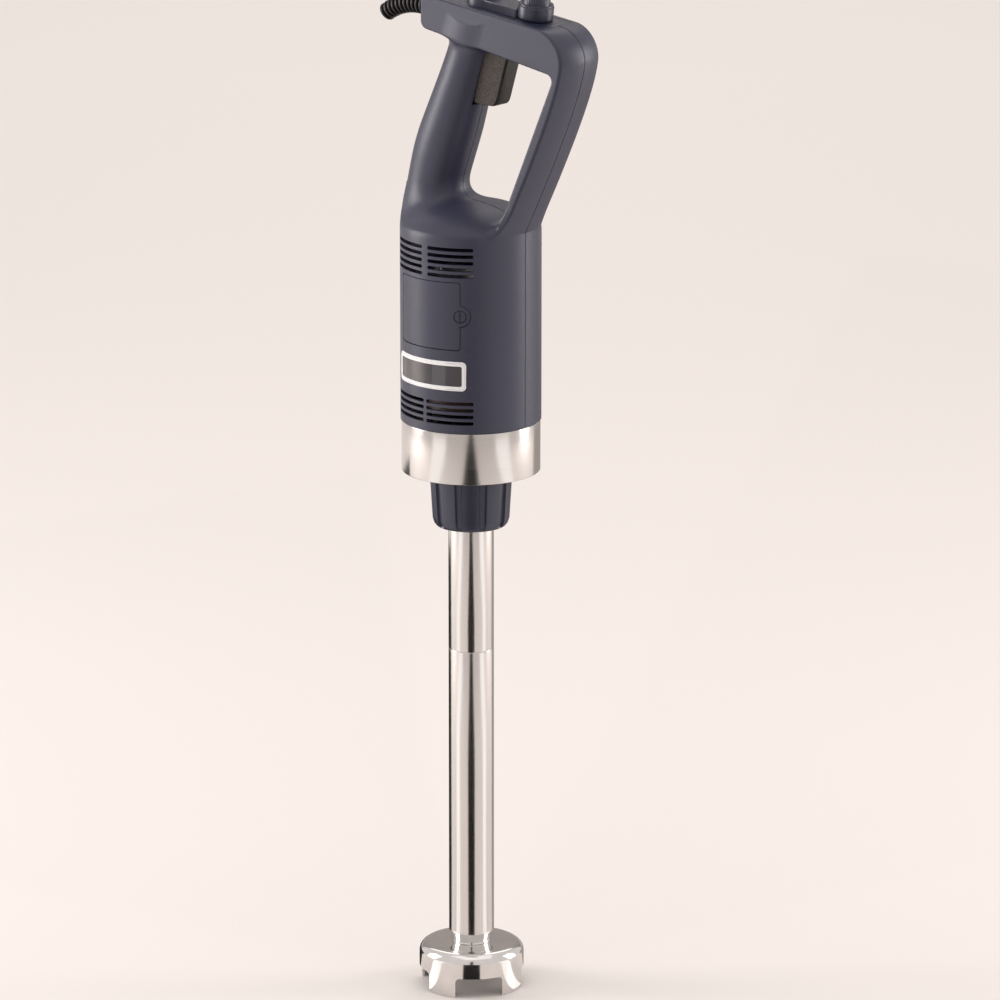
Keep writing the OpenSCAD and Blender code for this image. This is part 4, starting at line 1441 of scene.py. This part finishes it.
    def build(self, bench: Bench, fittings: "SideFittings") -> None:
        """Builds and dresses both halves."""
        low, high = (-66, -4, self.drum_z - 5), (self.reach + 6, self.drum_r + 5, self.bar_top + 10)
        outer = skin(self.surface, low, high, self.cell * (1))
        LOG.info("outer surface: %d points", len(outer.points))
        inner = skin(self.cavity, (low[0], low[1], low[2] - 3), high, 2.4)
        bench.fit(self.half(1, outer, inner, fittings), Slot.BODY, "left_shell")
        bench.fit(self.half(-1, outer, inner, fittings), Slot.BODY, "right_shell")


@dataclass
class SideFittings:
    """Brush covers, their caps and the badge, all let into the round housing.

    Attributes:
        radius: Radius of the housing.
        cover_z: Lower edge of a cover.
        cover_h: Its height.
        cover_half: Half its width, as an angle.
        thick: Its thickness.
        tab_r: Radius of its round tab.
        cap_r: Radius of the slotted cap.
        badge_z: Lower edge of the badge.
        badge_h: Its height.
        badge_half: Half its width, as an angle.
        badge_depth: Depth of its recess.
        badge_proud: How far its frame stands out of the housing.
        gap: Clearance in the recesses.
    """

    radius: float = 61.5
    cover_z: float = 595
    cover_h: float = 59.5
    cover_half: float = 31.5
    thick: float = 1.8
    tab_r: float = 9.1
    cap_r: float = 5.3
    badge_z: float = 559
    badge_h: float = 25.8
    badge_half: float = 36.5
    badge_depth: float = 1.4
    badge_proud: float = 0.6
    gap: float = 0.45

    @property
    def tab_z(self) -> float:
        """Height of the tab's centre."""
        return self.cover_z + self.cover_h / 2

    def round_columns(self, at: float, radius: float) -> list[Column]:
        """Columns of a round patch at an angle, level with the tab."""
        columns = []
        for turn in np.linspace(-88, 88, 23):
            s = radius * math.sin(math.radians(turn))
            half = radius * math.cos(math.radians(turn))
            columns.append((at + math.degrees(s / self.radius), self.tab_z - half, self.tab_z + half))
        return columns

    def cover_columns(self, side: int, grow: float) -> list[Column]:
        """Columns of a cover with its tab towards +X.

        Args:
            side: 1 for the left cover, -1 for the right one.
            grow: How much wider all round, for the recess.

        Returns:
            The columns.
        """
        wide = math.degrees(grow / self.radius)
        edge = self.cover_half + wide
        low, high = self.cover_z - grow, self.cover_z + self.cover_h + grow
        plate = panel_columns(-edge, edge, low, high, 3, self.radius)
        tab = [c for c in self.round_columns(self.cover_half, self.tab_r + grow) if c[0] > edge + 0.05]
        tab.insert(0, (edge + 0.03, self.tab_z - self.tab_r - grow, self.tab_z + self.tab_r + grow))
        columns = plate + tab
        if side > 0:
            columns = [(-a, bottom, top) for a, bottom, top in reversed(columns)]
        return [(a + 90 * side, bottom, top) for a, bottom, top in columns]

    def badge_columns(self, inset: float, corner: float) -> list[Column]:
        """Columns of the badge's outline, moved in on every edge."""
        half = self.badge_half - math.degrees(inset / self.radius)
        top = self.badge_z + self.badge_h - inset
        return panel_columns(-90 - half, -90 + half, self.badge_z + inset, top, corner, self.radius)

    def recesses(self, side: int) -> list[Solid]:
        """Tools for the recesses on one side."""
        tools = [wrapped(self.cover_columns(side, self.gap), self.radius - self.thick, self.radius + 5)]
        if side < 0:
            badge = self.badge_columns(-0.3, 4.3)
            tools.append(wrapped(badge, self.radius - self.badge_depth, self.radius + 5))
        return tools

    def tab_at(self, side: int) -> float:
        """Direction of a tab, in degrees."""
        return 90 * side - side * self.cover_half

    def cover(self, name: str, side: int) -> bpy.types.Object:
        """Builds one brush cover."""
        under = self.radius - self.thick + 0.02
        piece = make(name, wrapped(self.cover_columns(side, 0), under, self.radius + 0.05, 0.5))
        hole = self.round_columns(self.tab_at(side), self.cap_r + 0.35)
        return carve(piece, [wrapped(hole, self.radius - 5, self.radius + 5)])

    def caps(self) -> bpy.types.Object:
        """Builds the two round caps with a coin slot."""
        caps = []
        for side in (-1, 1):
            columns = self.round_columns(self.tab_at(side), self.cap_r)
            caps.append(wrapped(columns, self.radius - self.thick + 0.1, self.radius - 0.1, 0.4))
        piece = make("coin_caps", join(caps))
        half = math.degrees(0.65 / self.radius)
        low, high = self.tab_z - self.cap_r + 0.7, self.tab_z + self.cap_r - 0.7
        slots = []
        for side in (-1, 1):
            at = self.tab_at(side)
            columns = panel_columns(at - half, at + half, low, high, 0.3, self.radius)
            slots.append(wrapped(columns, self.radius - 1.2, self.radius + 3))
        return carve(piece, [join(slots)])

    def bezel(self, bench: Bench) -> bpy.types.Object:
        """Builds the badge's bright frame, with a line sunk along its middle whose floor is painted dark as
        the groove's shade.
        """
        under, outer = self.radius - self.badge_depth, self.radius + self.badge_proud
        piece = make("badge_frame", wrapped(self.badge_columns(0, 4), under, outer, 0.35))
        line = make("line", wrapped(self.badge_columns(1.0, 3.1), outer - 0.55, outer + 2))
        carve(line, [wrapped(self.badge_columns(1.6, 2.5), outer - 2, outer + 4)])
        window = wrapped(self.badge_columns(3.8, 1.6), self.radius - 6, self.radius + 6)
        carve(piece, [window, taken(line)])
        piece.data.materials.append(bench.materials[Slot.CHROME])
        # The groove's floor takes black plastic as painted shade: the sunk chrome line is dark only where
        # shade falls in it.
        piece.data.materials.append(bench.materials[Slot.BLACK])
        # Outward faces on the groove's floor take the painted shade; the rest stay chrome.
        for face in piece.data.polygons:
            centre = face.center / MM
            r = math.hypot(centre.x, centre.y)
            if outer - 0.7 < r < outer - 0.25 and abs(face.normal.z) < 0.5:
                inside = self.badge_z + 1 < centre.z < self.badge_z + self.badge_h - 1
                out = (face.normal.x * centre.x + face.normal.y * centre.y) / r
                face.material_index = 1 if inside and out > 0.9 else 0
        return piece

    def build(self, bench: Bench) -> None:
        """Builds and dresses the fittings."""
        bench.fit(self.cover("brush_cover_right", -1), Slot.BODY, "right_brush_cover")
        bench.fit(self.cover("brush_cover_left", 1), Slot.BODY, "left_brush_cover")
        bench.fit(self.caps(), Slot.BODY, "cover_caps")
        bench.fit(self.bezel(bench), Slot.CHROME, "badge_bezel")
        under = self.radius - self.badge_depth + 0.02
        lens = make("badge_window", wrapped(self.badge_columns(3.9, 1.5), under, self.radius - 0.2, 0.3))
        bench.fit(lens, Slot.LENS, "badge_lens")


@dataclass
class SteelBand:
    """The brushed band under the housing.

    Attributes:
        radius: Its outside radius.
        wall: Its wall.
    """

    radius: float = 60.75
    wall: float = 1.2

    def build(self, bench: Bench) -> None:
        """Builds and dresses the band."""
        low, high = (corner.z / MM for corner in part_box("steel_band"))
        inner = self.radius - self.wall
        outline = [(inner, low, 0.3), (self.radius, low, 0.7), (self.radius, high, 0.5), (inner, high, 0.3)]
        band = make("band", revolve(rounded(outline), 256))
        finish = Metal(shade(STEEL, 0.95), Brush.AROUND, (0.13, 0.2), 0.0018)
        band.data.materials.append(finish.material("brushed_round"))
        bench.fit(band, Slot.BRUSHED, "steel_band")


# ---- Controls ----


@dataclass
class Controls:
    """What is let into the bar's upper face: plate, button and speed dial.

    Attributes:
        housing: The housing, whose bar they sit on.
        dial_x: The dial's place along the bar.
        button_x: The button's place along the bar.
        dial_r: Radius of the dial's wide ring.
        dial_h: Its height.
        knob_r: Radius of the part that is turned by its top.
        flutes: Number of flutes round it.
        flute_depth: Their depth.
        button_r: Radius of the button.
        button_low: Height of its underside above the bar.
        plate_t: Thickness of the plate.
        console_h: Height of the raised block.
    """

    housing: Housing
    dial_x: float = 72.5
    button_x: float = 17.1
    dial_r: float = 15.5
    dial_h: float = 14
    knob_r: float = 12
    flutes: int = 36
    flute_depth: float = 0.32
    button_r: float = 12.5
    button_low: float = 4.2
    plate_t: float = 1.2
    console_h: float = 7

    def plate(self) -> bpy.types.Object:
        """Builds the dark plate with the raised block between button and dial."""
        piece = make("top_plate", prism(box_outline(-11.7, -19.7, 97.7, 19.7, 3.8), -self.plate_t, 0))
        console = prism(box_outline(18, -13, 62, 13, 2.5), -0.5, self.console_h)
        at_button, at_dial = (Matrix.Translation((x, 0, 0)) for x in (self.button_x, self.dial_x))
        cup = disc(self.button_r + 3.5, -0.5, self.console_h - 1).placed(at_button)
        carve(piece, [console, cup], Cut.ADD)
        tools = [tool.placed(at_button) for tool in (disc(self.button_r + 3.1, 1.5, 30), disc(4, -5, 30))]
        tools += [tool.placed(at_dial) for tool in (disc(self.dial_r + 0.6, 0.02, 30), disc(4, -5, 30))]
        carve(piece, tools)
        bevelled(piece, 0.6, 3, 50)
        return self.lay(piece, 0)

    def lay(self, piece: bpy.types.Object, x: float) -> bpy.types.Object:
        """Moves a piece's mesh from the bar's own frame into place."""
        matrix = self.housing.on_bar(x)
        matrix.translation *= MM
        piece.data.transform(matrix)
        return piece

    def dial(self) -> bpy.types.Object:
        """Builds the speed dial: a wide ring with a lip, and a fluted knob on it."""
        r, h, k = self.dial_r, self.dial_h, self.knob_r
        outline = rounded([
            (0.01, 0.4, 0), (r - 0.5, 0.4, 0.4), (r, 2, 0.5), (r, h - 2.2, 0.4), (r - 0.7, h - 1.8, 0.3),
            (r - 0.5, h, 0.7), (k + 1.2, h, 0.5), (k + 0.2, h - 0.8, 0.4), (k, h + 1, 0.5),
            (k - 0.6, h + 7, 1.2), (k - 3.5, h + 7, 0.6), (k - 4.2, h + 6.3, 0.6), (0.01, h + 6.3, 0)], 5)
        weights = [1.0 if k - 1.2 < radius < k + 0.1 and z > h + 1.2 else 0.0 for radius, z in outline]
        return self.lay(make("dial_knob", revolve(outline, 288, self.flute, weights)), self.dial_x)

    def flute(self, angle: float) -> float:
        """Depth of the knob's flutes at an angle in degrees."""
        return self.flute_depth * (1 + math.cos(math.radians(angle * self.flutes))) / 2

    def button(self) -> bpy.types.Object:
        """Builds the round button with its stem and stop collar."""
        r, low = self.button_r, self.button_low
        stop = -self.plate_t - self.housing.wall
        outline = rounded([
            (0.01, stop - 4, 0), (3, stop - 4, 0.5), (3, stop - 1.8, 0), (5.2, stop - 1.8, 0.3),
            (5.2, stop - 0.4, 0.3), (3, stop - 0.4, 0), (3, low, 0), (r, low, 0.4), (r, low + 6.4, 1.8),
            (r - 5, low + 6.9, 6), (0.01, low + 6.3, 0)], 6)
        return self.lay(make("push_button", revolve(outline, 128)), self.button_x)

    def bezel(self) -> bpy.types.Object:
        """Builds the ring round the button."""
        r = self.button_r
        outline = rounded([(r + 0.12, 1.5, 0), (r + 3, 1.5, 0.2), (r + 3, 5.8, 0.6), (r + 2.2, 7, 0.8),
                           (r + 0.9, 7, 0.6), (r + 0.12, 6.2, 0.4)])
        return self.lay(make("button_ring", revolve(outline, 128)), self.button_x)

    def build(self, bench: Bench) -> None:
        """Builds and dresses the controls."""
        bench.fit(self.plate(), Slot.DARK, "control_plate")
        bench.fit(self.dial(), Slot.DARK, "speed_dial")
        bench.fit(self.button(), Slot.BLACK, "round_button")
        bench.fit(self.bezel(), Slot.DARK, "button_bezel")


@dataclass
class Trigger:
    """The rubber-skinned trigger: coarse textured flanks, and a smooth dark face under the fingers.

    Attributes:
        pivot: Its pin, as (x, z).
        low: Its lowest point.
        half: Half its width.
        edge: Width of the rounded edge round a flank.
    """

    pivot: Point = (22.4, 864)
    low: float = 802
    half: float = 10.5
    edge: float = 2.6

    def outline(self, inset: float) -> list[Point]:
        """Side view of the trigger, moved in by an inset."""
        px, pz = self.pivot
        i, low = inset, self.low
        return rounded([
            (px - 4 + i, pz + 5 - i, 2), (px + 4 - i, pz + 5 - i, 2), (px + 6 - i, pz - 13 - i, 3),
            (px + 28 - 2.2 * i, low + 47 - i, 1.5), (px + 13.7 - 1.1 * i, low + 0.2 + i, 7),
            (px - 12 + 1.3 * i, low + 0.4 + i, 3), (px - 5 + i, low + 42, 20)], 6)

    def build(self, bench: Bench) -> None:
        """Builds and dresses the trigger."""
        ease = self.edge * 0.3
        right = [(self.edge, -self.half), (ease, -self.half + ease), (0, -self.half + self.edge)]
        layers = right + [(inset, -y) for inset, y in reversed(right)]
        rows = [np.array([(x, y, z) for x, z in self.outline(inset)]) for inset, y in layers]
        n = len(rows[0])
        faces: list[tuple[int, ...]] = []
        for k in range(len(rows) - 1):
            a, b = k * n, (k + 1) * n
            faces += [(a + i, a + (i + 1) % n, b + (i + 1) % n, b + i) for i in range(n)]
        faces += [tuple(range(n))[::-1], tuple(range(len(rows) * n - n, len(rows) * n))]
        piece = make("trigger_body", Solid(np.vstack(rows), faces))
        # The face's second colour is painted shade in the creases of its skin.
        dark = Rubber((0.020, 0.014, 0.013), (0.010, 0.008, 0.007), 0.8, 0.02, (0.42, 0.56))
        piece.data.materials.append(bench.materials[Slot.TRIGGER])
        piece.data.materials.append(dark.material("trigger_face"))
        for face in piece.data.polygons:
            face.material_index = 0 if abs(face.normal.y) > 0.9 else 1
        bench.fit(piece, Slot.TRIGGER, "trigger")


@dataclass
class CableBoot:
    """The ribbed rubber boot at the bar's free end; no cord is fitted.

    PROFILE is a rib's side view: distance along the boot, and share of the rib's height.

    Attributes:
        start: The bar's end.
        height: Height of its axis there.
        core: Radius between the ribs.
        rib: Radius of the first rib; the last is a little smaller.
        straight: Length of its straight part.
        bend_r: Radius of its bend.
        bend: Angle of its bend, in degrees.
        ribs: Number of ribs.
        bore: Radius of the hole for the cord.
    """

    start: float = -35
    height: float = 880.5
    core: float = 7.3
    rib: float = 9.5
    straight: float = 22
    bend_r: float = 65
    bend: float = 36
    ribs: int = 14
    bore: float = 4.2
    PROFILE = ((0, 0), (0.02, 0.55), (0.2, 0.9), (0.6, 1), (1.7, 1), (2.1, 0.9), (2.28, 0.55), (2.3, 0))

    def path(self, distance: float) -> Matrix:
        """Frame on the boot's axis, with Z along it away from the bar."""
        turn = max(0.0, distance - self.straight) / self.bend_r
        x = self.start - min(distance, self.straight) - self.bend_r * math.sin(turn)
        z = self.height - self.bend_r * (1 - math.cos(turn))
        return Matrix.Translation((x, 0, z)) @ Matrix.Rotation(math.radians(-90) - turn, 4, "Y")

    def build(self, bench: Bench) -> None:
        """Builds and dresses the boot."""
        length = self.straight + self.bend_r * math.radians(self.bend)
        pitch = (length - 2.8) / (self.ribs - 1)
        stations = [(-3.0, 0.01), (-3.0, self.core), (-0.2, self.core)]
        for i in range(self.ribs):
            top = self.rib - 1.5 * i / self.ribs
            core = self.core - 0.15 * i / 2
            start = 0.3 + i * pitch
            stations += [(start + along, core + share * (top - core)) for along, share in self.PROFILE]
        stations += [(length, self.core - 1.4), (length, self.bore + 0.3), (length - 0.4, self.bore),
                     (length - 14, self.bore), (length - 14, 0.01)]
        bench.fit(make("ribbed_boot", swept(stations, self.path), 40), Slot.BOOT, "cable_boot")


# ---- Springs and fasteners ----


@dataclass
class Coil:
    """A coil spring of round wire.

    Attributes:
        radius: Radius to the middle of the wire.
        wire: Radius of the wire.
        length: Length of the spring.
        turns: Number of turns.
    """

    radius: float
    wire: float
    length: float
    turns: float

    def solid(self, place: Matrix) -> Solid:
        """The spring's surface, with its axis along the Z of a frame."""
        count = int(self.turns * 20)
        sides = 8
        rows = []
        for k in range(count + 1):
            a = math.tau * self.turns * k / count
            out = np.array((math.cos(a), math.sin(a), 0))
            rise = self.wire + (self.length - 2 * self.wire) * k / count
            centre = out * self.radius + np.array((0, 0, rise))
            ring = [centre + self.wire * (math.cos(b) * out + math.sin(b) * np.array((0, 0, 1)))
                    for b in np.linspace(0, math.tau, sides, endpoint=False)]
            rows.append(np.array(ring))
        faces: list[tuple[int, ...]] = []
        for k in range(count):
            a, b = k * sides, (k + 1) * sides
            faces += [(a + i, a + (i + 1) % sides, b + (i + 1) % sides, b + i) for i in range(sides)]
        faces += [tuple(range(sides))[::-1], tuple(range(count * sides, (count + 1) * sides))]
        return Solid(np.vstack(rows), faces).placed(place)


@dataclass
class Fasteners:
    """Housing screws with a cross recess, set deep in the left half.

    Attributes:
        housing: The housing, whose posts they sit in.
        head_r: Radius of a head.
        head_h: Its height.
        screw_r: Radius of the shank.
    """

    housing: Housing
    head_r: float = 3.3
    head_h: float = 3
    screw_r: float = 1.6

    def build(self, bench: Bench) -> None:
        """Builds and dresses the screws."""
        head, r = self.head_r, self.screw_r
        outline = rounded([(0.01, -16, 0), (r - 0.6, -16, 0.3), (r, -15, 0.3), (r, 10, 0), (head, 10, 0.3),
                           (head, 11.6, 1.2), (0.01, 10 + self.head_h, 0)], 4)
        screws, crosses = [], []
        for x, z in self.housing.posts():
            place = Matrix.Translation((x, 0, z)) @ Matrix.Rotation(math.radians(-90), 4, "X")
            screws.append(revolve(outline, 32).placed(place))
            arm = block(-1.7, 1.7, -0.35, 0.35, 11.6, 14)
            crosses += [arm.placed(place @ Matrix.Rotation(math.radians(t), 4, "Z")) for t in (45, 135)]
        piece = make("cross_screws", join(screws))
        carve(piece, [join(crosses[::2]), join(crosses[1::2])])
        bench.fit(piece, Slot.MACHINED, "shell_screws")


@dataclass
class Springs:
    """The springs behind the brushes.

    Attributes:
        housing: The housing, which gives the brushes' height.
    """

    housing: Housing

    def build(self, bench: Bench) -> None:
        """Builds and dresses the springs."""
        springs = []
        for side in (-1, 1):
            place = Matrix.Translation((0, 28.1 * side, self.housing.brush_z))
            turn = Matrix.Rotation(math.radians(-90 * side), 4, "X")
            springs.append(Coil(2.4, 0.35, 10, 8).solid(place @ turn))
        bench.fit(make("brush_coils", join(springs)), Slot.MACHINED, "brush_springs")


# ---- Whole object ----


def main() -> None:
    """Builds the whole visual model in order."""
    logging.basicConfig(level=logging.INFO, format="%(message)s")
    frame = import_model()
    Studio().build()
    bench = Bench(frame)
    Arm().build(bench)
    CouplingNut().build(bench)
    SteelBand().build(bench)
    housing = Housing()
    fittings = SideFittings()
    housing.build(bench, fittings)
    fittings.build(bench)
    Controls(housing).build(bench)
    Trigger().build(bench)
    CableBoot().build(bench)
    Fasteners(housing).build(bench)
    Springs(housing).build(bench)
    bench.dress_rest()


if __name__ == "__main__":
    main()
